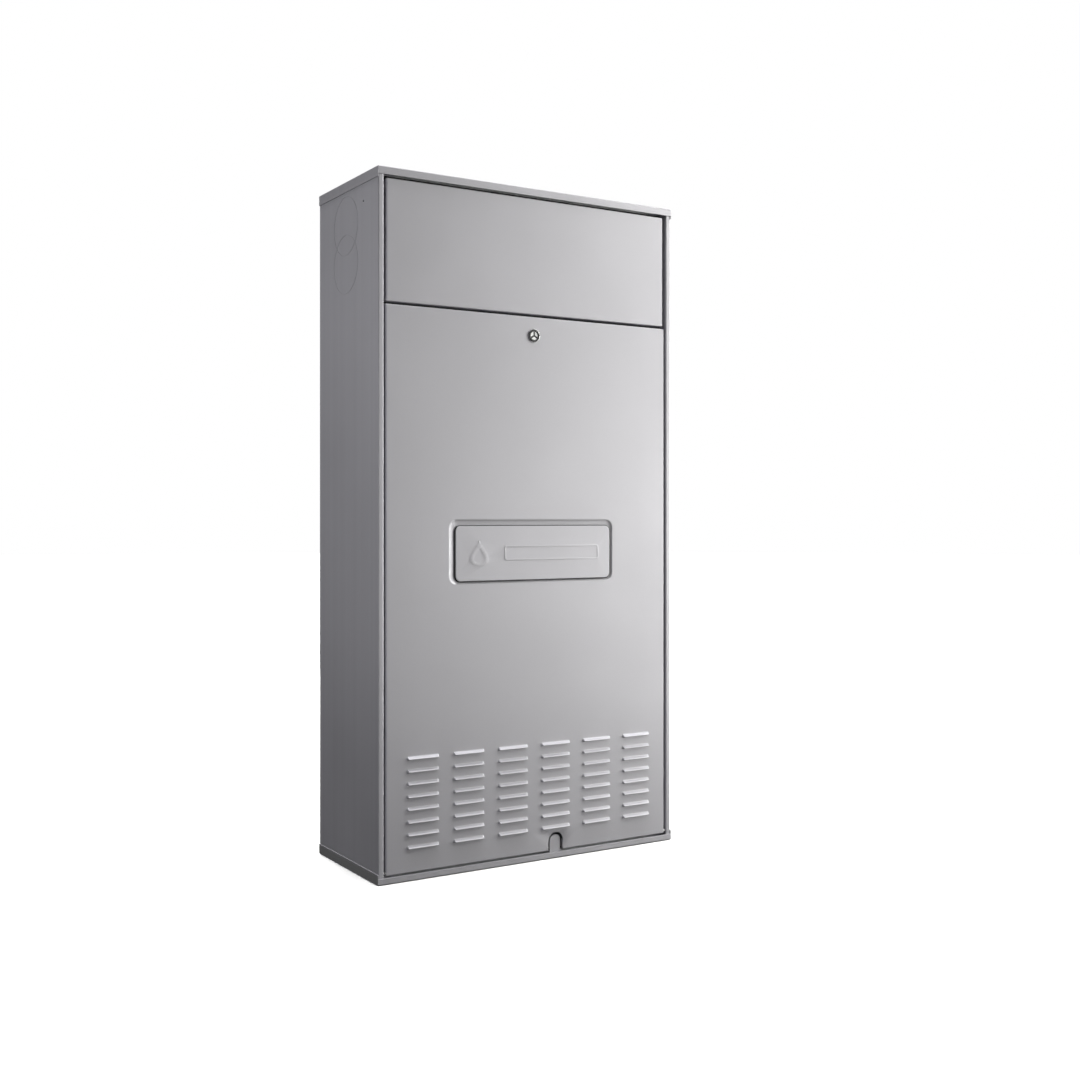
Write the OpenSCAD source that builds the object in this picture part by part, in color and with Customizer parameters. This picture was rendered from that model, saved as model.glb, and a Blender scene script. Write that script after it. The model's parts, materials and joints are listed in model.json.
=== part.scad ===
// Wall-recessed gas water heater: a tall sheet-metal cabinet with a louvred, lockable lower door,
// a clip-on upper panel and a condensing boiler assembly inside.
// Millimetres. +Z is up, the doors face -Y, and the origin is at the centre of the base.

/* [Cabinet] */
// Overall width
cabinet_w = 600; // [600:2:620]
// Overall depth, from the wall to the tips of the louvres
cabinet_d = 253; // [253:2:265]
// Overall height
cabinet_h = 1180; // [1180:5:1220]
// Thickness of the folded steel sheet
sheet = 1.2; // [1:0.1:1.4]
// Outside radius of the folds
bend_r = 2; // [1.8:0.1:2.5]
// Width of the frame's front stile beside the doors
stile_w = 10; // [9:0.5:12]
// Height of the top cap's front flange
cap_front_h = 13; // [11:0.5:15]
// Height of the bottom tray's front flange
tray_front_h = 11; // [9:0.5:12]
// Height of the caps' side flanges
cap_side_h = 18; // [16:1:22]

/* [Doors] */
// Height above the floor of the joint between the door and the upper panel
split_z = 957.2; // [950:0.5:965]
// Gap between the door and the upper panel
split_gap = 4.6; // [3.5:0.1:6]
// Depth of the folded edge of each door
pan_depth = 15; // [13:0.5:16]
// Gap beside the lower door
door_gap = 4; // [3.5:0.1:5]
// Gap beside the upper panel
panel_gap = 6; // [5:0.1:7]

/* [Louvres] */
// Number of louvre columns
louvre_columns = 6; // [3:1:6]
// Number of louvre rows
louvre_rows = 8; // [4:1:8]
// Length of one louvre
louvre_w = 59; // [40:1:62]
// Spacing of the columns
louvre_pitch_x = 87.3; // [70:0.1:90]
// Spacing of the rows
louvre_pitch_z = 21.1; // [18:0.1:22]
// Height of one louvre
louvre_h = 5.5; // [5:0.5:8]
// How far the louvres stand in front of the cap and the tray
louvre_proud = 3; // [2:0.5:4]

/* [Badge recess] */
// Width of the pressed recess
badge_w = 334; // [280:2:340]
// Height of the pressed recess
badge_h = 110; // [106:2:120]
// Depth of the pressed recess
badge_depth = 2.2; // [2:0.1:5]
// Width of the badge plate
plate_w = 316; // [240:2:320]
// Height of the badge plate
plate_h = 94; // [60:2:98]
// How far the badge plate stands out from the door
plate_proud = 1; // [0:0.1:2]

/* [Connections] */
// Spacing of the water and gas connections
connection_pitch = 85; // [80:1:88]
// Depth position of the connections
connection_y = 40; // [36:1:44]
// Radius of the flue socket
flue_socket_r = 30; // [28:0.5:32]
// Radius of the air collar
air_collar_r = 50; // [48:0.5:52]

/* [Hidden] */
$fn = 48;

// Cabinet reference planes
half_w = cabinet_w / 2;
wall_y = cabinet_d / 2;
front_y = louvre_proud - wall_y;      // front face of the cap and the tray
side_x = half_w - sheet;              // outer face of a side panel
stile_x = side_x - stile_w;           // inner edge of the stile
stile_y = front_y + sheet;            // front face of the stile
ledge_y = stile_y + 18.6;             // front face of the door rest
ledge_x = 262;                        // inner edge of the door rest
rear_flange = 19;
wall_hole_x = 250;
wall_hole_zs = [90, 1090];
wall_hole_r = 5;
frame_plate_y = 117;                  // front of the plate that carries the boiler
back_y = wall_y - sheet;              // outer face of the back panel
roof_z = cabinet_h - sheet;           // underside of the top cap
fold_room = bend_r - sheet;           // keeps the panels' ends clear of the inside of the caps' folds
panels_z0 = sheet + fold_room;
panels_z1 = roof_z - fold_room;

// Doors
door_y = stile_y + 1;                 // front face of the lower door
door_x = stile_x - door_gap;          // half width of the lower door
door_z0 = tray_front_h + 2.5;
door_z1 = split_z - split_gap / 2;
door_lip = 10;                        // width of the lip folded in behind the door's edge
panel_y = stile_y + 2.3;              // front face of the upper panel
panel_x = stile_x - panel_gap;
panel_z0 = split_z + split_gap / 2;
panel_z1 = cabinet_h - cap_front_h - 4.5;
seal_y = door_y + pan_depth + 0.3;    // front face of the foam seal
hinge_y = door_y + 3.8;
hinge_z = 18;
hinge_r = 2.5;
lock_z = door_z1 - 33;
badge_z = 544.6;
plate_x = 2.5;
plate_z = badge_z - 3.1;
plate_r = 9;
louvre_x = 1.5;                       // middle of the louvred field
louvre_z0 = 53;                       // lip of the lowest louvre
louvre_tip = -wall_y;                 // front of a louvre's lip
louvre_sheet = 1;
louvre_slope = 2.2;                   // run of a louvre's sloping ends
notch_x = 45.6;
notch_w = 30.6;
notch_top = 45.6;
tab_w = 22;
tab_top = 40.8;
tab_y = door_y + 2.6;
rail_h = 41;
rail_lip = 8;
rail_z0 = split_z - 20;
rail_z1 = rail_z0 + rail_h;

// Duct knock-outs in the side panels
knockout_r = 50;
knockout_y = 10;
knockout_zs = [1104, 1038];

// Upper panel fixings
stud_x = 272;
stud_zs = [1000, 1130];
stud_r = 3;

// Flue
flue_x = -95;
flue_y = 35;
collar_z0 = 1118;
socket_z0 = 1060;
socket_z1 = 1105;

// Condensing heat exchanger, its axis along Y
ex_x = flue_x;
ex_z = 815;
shell_r = 109;
shell_y0 = -30;
shell_y1 = 100;
flange_r = 124;
bolt_circle = 116;
door_plate = 6;
burner_y = shell_y0 - 2;              // inner face of the burner door
coil_r = 88;
coil_tube_r = 10;
coil_pitch = 22;
stub_ys = [-12, 76];
electrode_dx = -45;
electrode_dz = 55;

// Fan, its axis along Y
fan_x = 135;
fan_z = 762;
fan_r = 75;
fan_y0 = -66;
fan_y1 = -20;
duct_h = 44;
duct_end_x = 57;
duct_z = fan_z + fan_r - duct_h / 2;
air_y = 10;

// Vessel hose
hose_x = 257;

// Pump, its axis along Y
pump_x = 190;
pump_y = 30;
pump_z = 330;
pump_r = 50;

// Connections, left to right: heating flow, hot water, gas, cold water, heating return
connection_xs = [for (i = [-2:2]) i * connection_pitch];
flow_x = connection_xs[0];
hot_x = connection_xs[1];
gas_x = connection_xs[2];
cold_x = connection_xs[3];
return_x = connection_xs[4];
valve_z0 = 100;
stem_z = 134;
union_z = 175;
group_z0 = 200;
group_z1 = 245;
port_z = 222;                         // ports in the sides of the groups
relief_x = 120;
riser_x = -256;                       // pipes on the left of the exchanger
crossing_z = 470;                     // return pipe above the pump
vessel_x = 165;
vessel_z = 860;
vessel_h = 430;
vessel_port_y = 66;
trap_outlet_y = -36;
heating_bore_r = 11.05;               // 22 mm pipe
water_bore_r = 7.55;                  // 15 mm pipe
condensate_bore_r = 10.8;             // 21.5 mm pipe
socket_len = 16;

// Control box
box_x0 = -250;
box_x1 = 60;
box_y0 = -92;
box_y1 = -40;
box_z0 = 500;
box_z1 = 640;
box_wall = 2.5;
knob_x = -190;
knob_z = 565;
button_x = -120;
gauge_x = 15;
gauge_z = 570;
display_x = -50;

// Colours
paint = [0.72, 0.72, 0.74];
zinc = [0.78, 0.79, 0.8];
copper = [0.8, 0.48, 0.32];
brass = [0.78, 0.62, 0.32];
black = [0.1, 0.1, 0.11];
steel = [0.7, 0.7, 0.7];

// ---- Shared shapes ----

// A box given by its low and high corners
module span(low, high) {
    translate(low) cube(high - low);
}

// A cylinder along Y from y0 to y1
module y_rod(x, z, r, y0, y1) {
    translate([x, y1, z]) rotate([90, 0, 0]) cylinder(r = r, h = y1 - y0);
}

// A cylinder along Z from z0 to z1
module z_rod(x, y, r, z0, z1) {
    translate([x, y, z0]) cylinder(r = r, h = z1 - z0);
}

// A cylinder along X from x0 to x1
module x_rod(y, z, r, x0, x1) {
    translate([x0, y, z]) rotate([0, 90, 0]) cylinder(r = r, h = x1 - x0);
}

// A flat rectangle with round corners
module round_rect(w, h, r) {
    difference() {
        square([w, h], center = true);
        for (sx = [-1, 1], sy = [-1, 1])
            translate([sx * w / 2, sy * h / 2]) mirror([sx > 0 ? 1 : 0, 0]) mirror([0, sy > 0 ? 1 : 0])
                difference() {
                    square([r, r]);
                    translate([r, r]) circle(r = r);
                }
    }
}

// A slab with round corners in the XZ plane, from y0 to y1
module xz_slab(x, z, w, h, r, y0, y1) {
    translate([x, y1, z]) rotate([90, 0, 0]) linear_extrude(y1 - y0) round_rect(w, h, r);
}

// A slab with round corners in the XY plane, from z0 to z1
module xy_slab(x, y, w, d, r, z0, z1) {
    translate([x, y, z0]) linear_extrude(z1 - z0) round_rect(w, d, r);
}

// The space between a square corner at p and a fillet of radius r, towards d
module spandrel(p, d, r) {
    translate(p) mirror([d[0] < 0 ? 1 : 0, 0]) mirror([0, d[1] < 0 ? 1 : 0]) difference() {
        square([r, r]);
        translate([r, r]) circle(r = r);
    }
}

// A block that stands on z = 0, with the four edges of its top face rounded
module folded_block(w, d, h, r) {
    module side_outline(width) {
        difference() {
            translate([-width / 2, 0]) square([width, h]);
            for (side = [-1, 1]) spandrel([side * width / 2, h], [-side, -1], r);
        }
    }
    intersection() {
        translate([0, d / 2, 0]) rotate([90, 0, 0]) linear_extrude(d) side_outline(w);
        translate([-w / 2, 0, 0]) rotate([90, 0, 90]) linear_extrude(w) side_outline(d);
    }
}

// An open pan of folded sheet, its face at z = h
module folded_pan(w, d, h) {
    difference() {
        folded_block(w, d, h, bend_r);
        translate([0, 0, -1]) folded_block(w - 2 * sheet, d - 2 * sheet, h - sheet + 1, bend_r - sheet);
    }
}

// The same pan upright, its face at y = y0 towards -Y, open at the back
module upright_pan(half_width, z0, z1, y0, depth) {
    translate([0, y0 + depth, (z0 + z1) / 2]) rotate([90, 0, 0])
        folded_pan(2 * half_width, z1 - z0, depth);
}

function unit(v) = v / norm(v);
function columns(a, b, c, o) = [
    [a[0], b[0], c[0], o[0]], [a[1], b[1], c[1], o[1]], [a[2], b[2], c[2], o[2]], [0, 0, 0, 1]
];

// One straight run of a tube from a to b
module straight(a, b, r) {
    d = unit(b - a);
    side = abs(d[2]) > 0.5 ? [1, 0, 0] : [0, 0, 1];
    multmatrix(columns(side, cross(d, side), d, a)) cylinder(r = r, h = norm(b - a));
}

// A quarter bend at corner p, arriving along a and leaving along b
module bend(p, a, b, r, turn_r) {
    multmatrix(columns(-b, a, cross(-b, a), p - a * turn_r + b * turn_r))
        rotate_extrude(angle = 90) translate([turn_r, 0]) circle(r = r);
}

// A round tube along square-cornered points, with bends of radius turn_r
module tube(points, r, turn_r) {
    last = len(points) - 1;
    for (i = [0:last - 1]) {
        d = unit(points[i + 1] - points[i]);
        straight(points[i] + (i > 0 ? d * turn_r : [0, 0, 0]),
            points[i + 1] - (i < last - 1 ? d * turn_r : [0, 0, 0]), r);
    }
    for (i = [1:last - 1])
        bend(points[i], unit(points[i] - points[i - 1]), unit(points[i + 1] - points[i]), r, turn_r);
}

// ---- Cabinet ----

// The cap, face up: a pan whose front edge is shallower than the others
module cap_pan(front_h) {
    difference() {
        translate([0, (front_y + wall_y) / 2, 0]) folded_pan(cabinet_w, wall_y - front_y, cap_side_h);
        span([-side_x, front_y - 1, -1], [side_x, stile_y + 0.01, cap_side_h - front_h]);
    }
}

module top_cap() {
    color(paint) difference() {
        translate([0, 0, cabinet_h - cap_side_h]) cap_pan(cap_front_h);
        z_rod(flue_x, flue_y, air_collar_r + 3, roof_z - 1, cabinet_h + 1);
    }
}

module bottom_tray() {
    color(paint) difference() {
        union() {
            translate([0, 0, cap_side_h]) mirror([0, 0, 1]) cap_pan(tray_front_h);
            // Locating tab that stands in the door's notch
            span([notch_x - tab_w / 2, tab_y, sheet / 2],
                [notch_x + tab_w / 2, tab_y + sheet, tab_top - tab_w / 2]);
            y_rod(notch_x, tab_top - tab_w / 2, tab_w / 2, tab_y, tab_y + sheet);
        }
        // Opening for the pipes
        xy_slab(0, 20, 430, 140, 12, -1, sheet + 1);
    }
}

// Plan outline of a side panel: skin, stile, return wall, door rest and rear flange
module side_panel_outline() {
    inner_r = bend_r - sheet;
    difference() {
        union() {
            translate([side_x - sheet, stile_y]) square([sheet, back_y - stile_y]);
            translate([stile_x, stile_y]) square([stile_w, sheet]);
            translate([stile_x, stile_y]) square([sheet, ledge_y + sheet - stile_y]);
            translate([ledge_x, ledge_y]) square([stile_x + sheet - ledge_x, sheet]);
            translate([side_x - rear_flange, back_y - 2 * sheet]) square([rear_flange, sheet]);
            spandrel([side_x - sheet, stile_y + sheet], [-1, 1], inner_r);
            spandrel([stile_x + sheet, stile_y + sheet], [1, 1], inner_r);
            spandrel([stile_x, ledge_y], [-1, -1], inner_r);
        }
        spandrel([side_x, stile_y], [-1, 1], bend_r);
        spandrel([stile_x, stile_y], [1, 1], bend_r);
        spandrel([stile_x + sheet, ledge_y + sheet], [-1, -1], bend_r);
    }
}

module side_panel() {
    color(paint) difference() {
        translate([0, 0, panels_z0]) linear_extrude(panels_z1 - panels_z0) side_panel_outline();
        x_rod(hinge_y, hinge_z, hinge_r, stile_x - 1, stile_x + sheet + 1);
        for (z = stud_zs) y_rod(stud_x, z, 4.5, ledge_y - 1, ledge_y + sheet + 1);
        // Scored rings of two overlapping duct knock-outs, and a pilot hole
        for (z = knockout_zs)
            translate([side_x + 1, knockout_y, z]) rotate([0, -90, 0]) difference() {
                cylinder(r = knockout_r + 0.8, h = 1.4);
                translate([0, 0, -1]) cylinder(r = knockout_r, h = 4);
            }
        x_rod(stile_y + 59, 1133, 2, side_x - sheet - 1, side_x + 1);
    }
}

module right_side_panel() {
    side_panel();
}

module left_side_panel() {
    mirror([1, 0, 0]) side_panel();
}

module back_panel() {
    w = side_x - sheet;
    color(zinc) difference() {
        span([-w, back_y - sheet, panels_z0], [w, back_y, panels_z1]);
        for (sx = [-1, 1], z = wall_hole_zs)
            y_rod(sx * wall_hole_x, z, wall_hole_r, back_y - sheet - 1, back_y + 1);
    }
}

module cross_rails() {
    color(black) {
        // Middle rail behind the joint between the doors
        span([-ledge_x, ledge_y, rail_z0], [ledge_x, ledge_y + sheet, rail_z1]);
        span([-ledge_x, ledge_y + sheet, rail_z0], [ledge_x, ledge_y + rail_lip, rail_z0 + sheet]);
        span([-ledge_x, ledge_y + sheet, rail_z1 - sheet], [ledge_x, ledge_y + rail_lip, rail_z1]);
        // Top rail and bottom sill
        span([-ledge_x, ledge_y, roof_z - 28], [ledge_x, ledge_y + sheet, roof_z]);
        span([-ledge_x, ledge_y, sheet], [ledge_x, ledge_y + sheet, 36]);
    }
}

module frame_seal() {
    strip = [277, 287];
    color(black) {
        for (side = [-1, 1])
            span([side > 0 ? strip[0] : -strip[1], seal_y, 26],
                [side > 0 ? strip[1] : -strip[0], ledge_y, panel_z1 + 6]);
        for (z = [split_z - 12, panel_z1 - 6])
            span([-strip[0], seal_y, z], [strip[0], ledge_y, z + (z < split_z ? 24 : 12)]);
    }
}

module hinge_pins() {
    color(steel) for (side = [-1, 1]) mirror([side < 0 ? 1 : 0, 0, 0]) {
        x_rod(hinge_y, hinge_z, hinge_r, door_x - sheet - 3, stile_x + sheet);
        x_rod(hinge_y, hinge_z, hinge_r + 2, stile_x + sheet, stile_x + sheet + 2);
    }
}

module fasteners() {
    // Spring clips that grip the upper panel's studs
    color(zinc) for (side = [-1, 1], z = stud_zs) difference() {
        y_rod(side * stud_x, z, 8, ledge_y + sheet, ledge_y + sheet + 9);
        y_rod(side * stud_x, z, stud_r + 0.05, ledge_y, ledge_y + sheet + 10);
    }
    // Hex nuts of the burner door
    color(steel) for (a = [30:60:330])
        translate([ex_x + bolt_circle * cos(a), burner_y - door_plate, ex_z + bolt_circle * sin(a)])
            rotate([90, 0, 0]) cylinder(r = 5.8, h = 5, $fn = 6);
    // Pan-head screws that hold the control box's cover
    color(steel) for (x = [box_x0 + 8, box_x1 - 8], z = [box_z0 + 8, box_z1 - 8])
        y_rod(x, z, 3.5, box_y0 - 2, box_y0);
    // Screws that hold the flue collar
    color(steel) for (a = [45:90:315])
        z_rod(flue_x + 60 * cos(a), flue_y + 60 * sin(a), 3.5, roof_z - 4.5, roof_z - 2);
}

// ---- Lower door ----

// A wedge between a side outline, swept along X, and a top outline, swept along Z
module wedge(side_outline, top_outline) {
    intersection() {
        translate([-100, 0, 0]) rotate([90, 0, 90]) linear_extrude(200) polygon(side_outline);
        translate([0, 0, -10]) linear_extrude(40) polygon(top_outline);
    }
}

// Outside of one louvre, its lip's foot at z = 0
module louvre_outside() {
    half = louvre_w / 2;
    wedge(
        [[door_y + 0.5, louvre_h], [door_y, louvre_h], [louvre_tip, 1], [louvre_tip, 0],
            [door_y + 0.5, 0]],
        [[-half, door_y + 1], [-half, door_y], [louvre_slope - half, louvre_tip],
            [half - louvre_slope, louvre_tip], [half, door_y], [half, door_y + 1]]
    );
}

// Air space under one louvre and through the door's skin
module louvre_inside() {
    half = louvre_w / 2 - louvre_sheet;
    lip = louvre_tip + louvre_sheet;
    roof = louvre_h - 1.4 * louvre_sheet;
    wedge(
        [[door_y + 3, roof], [door_y, roof], [lip, 0.6], [lip, -1], [door_y, -1], [door_y, 0],
            [door_y + 3, 0]],
        [[-half, door_y + 4], [-half, door_y], [louvre_slope - half, lip],
            [half - louvre_slope, lip], [half, door_y], [half, door_y + 4]]
    );
}

module at_louvres() {
    x0 = louvre_x - louvre_pitch_x * (louvre_columns - 1) / 2;
    for (i = [0:louvre_columns - 1], j = [0:louvre_rows - 1])
        translate([x0 + i * louvre_pitch_x, 0, louvre_z0 + j * louvre_pitch_z]) children();
}

module louvred_door() {
    inner = pan_depth - sheet;
    spring_z = notch_top - notch_w / 2;
    color(paint) difference() {
        union() {
            difference() {
                union() {
                    upright_pan(door_x, door_z0, door_z1, door_y, pan_depth);
                    door_lips();
                }
                // Pocket of the badge recess, seen from outside
                xz_slab(0, badge_z, badge_w, badge_h, 14, door_y - 1, door_y + sheet + 1);
            }
            badge_recess();
            at_louvres() louvre_outside();
            // Folded lips beside the notch
            for (side = [-1, 1])
                span([notch_x + (side > 0 ? notch_w / 2 : -notch_w / 2 - sheet), door_y, door_z0],
                    [notch_x + (side > 0 ? notch_w / 2 + sheet : -notch_w / 2), door_y + 5.5, spring_z]);
        }
        at_louvres() louvre_inside();
        // Lock hole, hinge holes and the notch at the foot
        y_rod(0, lock_z, 9.2, door_y - 1, door_y + sheet + 1);
        for (side = [-1, 1]) mirror([side < 0 ? 1 : 0, 0, 0])
            x_rod(hinge_y, hinge_z, hinge_r + 0.05, door_x - sheet - 1, door_x + 1);
        span([notch_x - notch_w / 2, door_y - 1, door_z0 - 1],
            [notch_x + notch_w / 2, door_y + inner / 2, spring_z]);
        y_rod(notch_x, spring_z, notch_w / 2, door_y - 1, door_y + sheet + 1);
    }
}

// Lips folded in behind the door's two sides and top; the bottom has none, so that the door can drop
module door_lips() {
    y0 = door_y + pan_depth - sheet;
    y1 = door_y + pan_depth;
    for (side = [-1, 1])
        span([side > 0 ? door_x - door_lip : -door_x + sheet / 2, y0, door_z0 + 2 * door_lip],
            [side > 0 ? door_x - sheet / 2 : -door_x + door_lip, y1, door_z1 - sheet / 2]);
    span([-door_x + door_lip, y0, door_z1 - door_lip], [door_x - door_lip, y1, door_z1 - sheet / 2]);
}

// The pressed recess that holds the badge plate
module badge_recess() {
    difference() {
        xz_slab(0, badge_z, badge_w + 0.02, badge_h + 0.02, 14, door_y, door_y + badge_depth + sheet);
        xz_slab(0, badge_z, badge_w - 2 * sheet, badge_h - 2 * sheet, 14 - sheet,
            door_y - 1, door_y + badge_depth);
    }
}

module badge_plate() {
    color(paint)
        xz_slab(plate_x, plate_z, plate_w, plate_h, plate_r, door_y - plate_proud, door_y + badge_depth);
}

module door_stiffeners() {
    color(zinc) for (x = [-215, 215])
        translate([x, door_y + sheet, 240]) linear_extrude(640) {
            translate([-20, 0]) square([12, 1]);
            translate([8, 0]) square([12, 1]);
            translate([-9, 0]) square([1, 9]);
            translate([8, 0]) square([1, 9]);
            translate([-9, 8]) square([18, 1]);
        }
}

module lock_housing() {
    color(steel) difference() {
        union() {
            y_rod(0, lock_z, 11.5, door_y - 2, door_y);
            y_rod(0, lock_z, 9, door_y, door_y + 16);
            // Clamping nut behind the skin
            translate([0, door_y + sheet + 4, lock_z]) rotate([90, 0, 0])
                cylinder(r = 13, h = 4, $fn = 6);
        }
        y_rod(0, lock_z, 6.55, door_y - 3, door_y + 17);
        y_rod(0, lock_z, 8.6, door_y - 3, door_y + 0.2);
    }
}

module lock_core() {
    color(zinc) difference() {
        union() {
            y_rod(0, lock_z, 6.5, door_y - 1.6, door_y + 31);
            y_rod(0, lock_z, 8.2, door_y - 1.6, door_y - 0.2);
        }
        // Three-winged key recess
        for (a = [30:120:270])
            translate([0, door_y, lock_z]) rotate([0, a, 0]) span([0, -2, -1.2], [6.2, 5, 1.2]);
    }
}

module lock_cam() {
    y0 = door_y + 27.5;
    color(steel) difference() {
        union() {
            span([-30, y0, lock_z - 7], [0, y0 + 3, lock_z + 7]);
            y_rod(0, lock_z, 10, y0, y0 + 3);
        }
        y_rod(0, lock_z, 6.52, y0 - 1, y0 + 4);
    }
}

// ---- Upper panel ----

module upper_panel() {
    color(paint) upright_pan(panel_x, panel_z0, panel_z1, panel_y, seal_y - 0.3 - panel_y);
}

module panel_studs() {
    color(steel) for (side = [-1, 1], z = stud_zs) {
        y_rod(side * stud_x, z, 6, panel_y + sheet, panel_y + sheet + 2);
        y_rod(side * stud_x, z, stud_r, panel_y + sheet, ledge_y + sheet + 8);
    }
}

// ---- Flue ----

module flue_collar() {
    color(zinc) difference() {
        union() {
            z_rod(flue_x, flue_y, air_collar_r + 3, collar_z0, roof_z);
            z_rod(flue_x, flue_y, air_collar_r + 16, roof_z - 2, roof_z);
        }
        z_rod(flue_x, flue_y, air_collar_r, collar_z0 - 1, roof_z + 1);
    }
}

module flue_pipe() {
    color(zinc) difference() {
        union() {
            z_rod(flue_x, flue_y, flue_socket_r + 1, 950, socket_z0);
            z_rod(flue_x, flue_y, flue_socket_r + 3, socket_z0 - 5, socket_z1);
            z_rod(flue_x, flue_y, flue_socket_r + 5, socket_z1 - 10, socket_z1 - 3);
        }
        z_rod(flue_x, flue_y, flue_socket_r - 2, 949, socket_z0 + 1);
        z_rod(flue_x, flue_y, flue_socket_r, socket_z0, socket_z1 + 1);
    }
}

// ---- Boiler frame ----

module boiler_frame() {
    plate_y = frame_plate_y;
    color(zinc) difference() {
        union() {
            span([-240, plate_y, 150], [240, plate_y + sheet, 1120]);
            for (side = [-1, 1])
                span([side > 0 ? 240 - sheet : -240, plate_y - 4, 150],
                    [side > 0 ? 240 : -240 + sheet, plate_y, 1120]);
            // Stand-offs to the back panel
            for (x = [-200, 200], z = [200, 1080]) y_rod(x, z, 12, plate_y, back_y - sheet);
            // Arms that carry the control box
            for (x = [-236, 46]) span([x, box_y1, box_z0], [x + 1.5, plate_y, box_z0 + 30]);
            // Shelf brackets that carry the two hydraulic groups
            for (x = [-150, 130]) span([x, 60, 205], [x + 20, plate_y, 208]);
        }
        for (z = [260, 380]) xz_slab(-175, z, 60, 60, 8, plate_y - 1, plate_y + sheet + 1);
    }
}

// ---- Heat exchanger and burner ----

module exchanger_shell() {
    color(black) difference() {
        union() {
            y_rod(ex_x, ex_z, shell_r, shell_y0, shell_y1);
            y_rod(ex_x, ex_z, flange_r, shell_y0, shell_y0 + 6);
            for (y = [5, 35, 65, 92]) y_rod(ex_x, ex_z, shell_r + 4, y, y + 4);
            // Flue outlet and condensate drain
            z_rod(flue_x, flue_y, 33, ex_z + 80, 950);
            z_rod(ex_x, air_y, 12, 680, ex_z - 90);
            // Feet on the frame plate
            for (sx = [-1, 1], sz = [-1, 1])
                span([ex_x + sx * 60 - 12, shell_y1 - 4, ex_z + sz * 60 - 12],
                    [ex_x + sx * 60 + 12, frame_plate_y, ex_z + sz * 60 + 12]);
        }
        y_rod(ex_x, ex_z, shell_r - 4, shell_y0 - 1, shell_y1 - 4);
        z_rod(flue_x, flue_y, 28, ex_z, 951);
        z_rod(ex_x, air_y, 8, 679, ex_z);
        for (y = stub_ys) x_rod(y, ex_z, coil_tube_r + 0.5, ex_x - shell_r - 20, ex_x);
    }
}

module exchanger_coil() {
    color(steel) {
        for (i = [0:4])
            translate([ex_x, stub_ys[0] + i * coil_pitch, ex_z]) rotate([90, 0, 0])
                rotate_extrude() translate([coil_r, 0]) circle(r = coil_tube_r);
        y_rod(ex_x - coil_r, ex_z, 6, stub_ys[0], stub_ys[1]);
        for (y = stub_ys) x_rod(y, ex_z, coil_tube_r, ex_x - shell_r - 18, ex_x - coil_r);
    }
}

// Air space of the duct between the fan and the burner door
module duct_air(x0, x1) {
    span([x0, fan_y0 + 3, duct_z - duct_h / 2 + 3], [x1, fan_y0 + 23, duct_z + duct_h / 2 - 3]);
}

module burner_door() {
    color(steel) difference() {
        union() {
            y_rod(ex_x, ex_z, flange_r, burner_y - door_plate, burner_y);
            // Mixture duct from the fan
            y_rod(ex_x, ex_z, 38, fan_y0, burner_y - door_plate);
            span([ex_x, fan_y0, duct_z - duct_h / 2], [duct_end_x - 4, fan_y0 + 26, duct_z + duct_h / 2]);
            span([duct_end_x - 4, fan_y0 - 4, duct_z - duct_h / 2 - 6],
                [duct_end_x, fan_y0 + 30, duct_z + duct_h / 2 + 6]);
        }
        duct_air(ex_x, duct_end_x + 1);
        y_rod(ex_x, ex_z, 33, fan_y0 + 3, burner_y + 1);
        y_rod(ex_x + electrode_dx, ex_z + electrode_dz, 4.1, burner_y - door_plate - 1, burner_y + 1);
    }
}

module burner_tube() {
    color(steel) difference() {
        union() {
            y_rod(ex_x, ex_z, 36, burner_y + 2, burner_y + 92);
            y_rod(ex_x, ex_z, 46, burner_y, burner_y + 2);
        }
        y_rod(ex_x, ex_z, 34.5, burner_y - 1, burner_y + 90);
    }
}

module burner_gasket() {
    color([0.85, 0.84, 0.8]) difference() {
        y_rod(ex_x, ex_z, 110, burner_y, shell_y0);
        y_rod(ex_x, ex_z, 98, burner_y - 1, shell_y0 + 1);
    }
}

module electrode() {
    color([0.92, 0.9, 0.86]) {
        y_rod(ex_x + electrode_dx, ex_z + electrode_dz, 4, -58, -8);
        y_rod(ex_x + electrode_dx, ex_z + electrode_dz, 1.2, -8, 12);
    }
}

// ---- Fan, venturi and gas ----

module fan_housing() {
    color(steel) difference() {
        union() {
            y_rod(fan_x, fan_z, fan_r, fan_y0, fan_y1);
            span([duct_end_x, fan_y0, duct_z - duct_h / 2], [fan_x, fan_y0 + 26, duct_z + duct_h / 2]);
            span([duct_end_x, fan_y0 - 4, duct_z - duct_h / 2 - 6],
                [duct_end_x + 4, fan_y0 + 30, duct_z + duct_h / 2 + 6]);
        }
        y_rod(fan_x, fan_z, fan_r - 4, fan_y0 + 3, fan_y1 - 3);
        duct_air(duct_end_x - 1, fan_x);
        y_rod(fan_x, fan_z, 26, fan_y1 - 4, fan_y1 + 1);
        y_rod(fan_x, fan_z, 6, fan_y0 - 1, fan_y0 + 4);
    }
}

module fan_motor() {
    color(black) difference() {
        union() {
            y_rod(fan_x, fan_z, 42, fan_y0 - 14, fan_y0);
            y_rod(fan_x, fan_z, 36, fan_y0 - 32, fan_y0 - 14);
            span([fan_x - 18, fan_y0 - 26, fan_z - 56], [fan_x + 18, fan_y0, fan_z - 30]);
        }
        y_rod(fan_x, fan_z, 4.05, fan_y0 - 12, fan_y0 + 1);
    }
}

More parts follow.
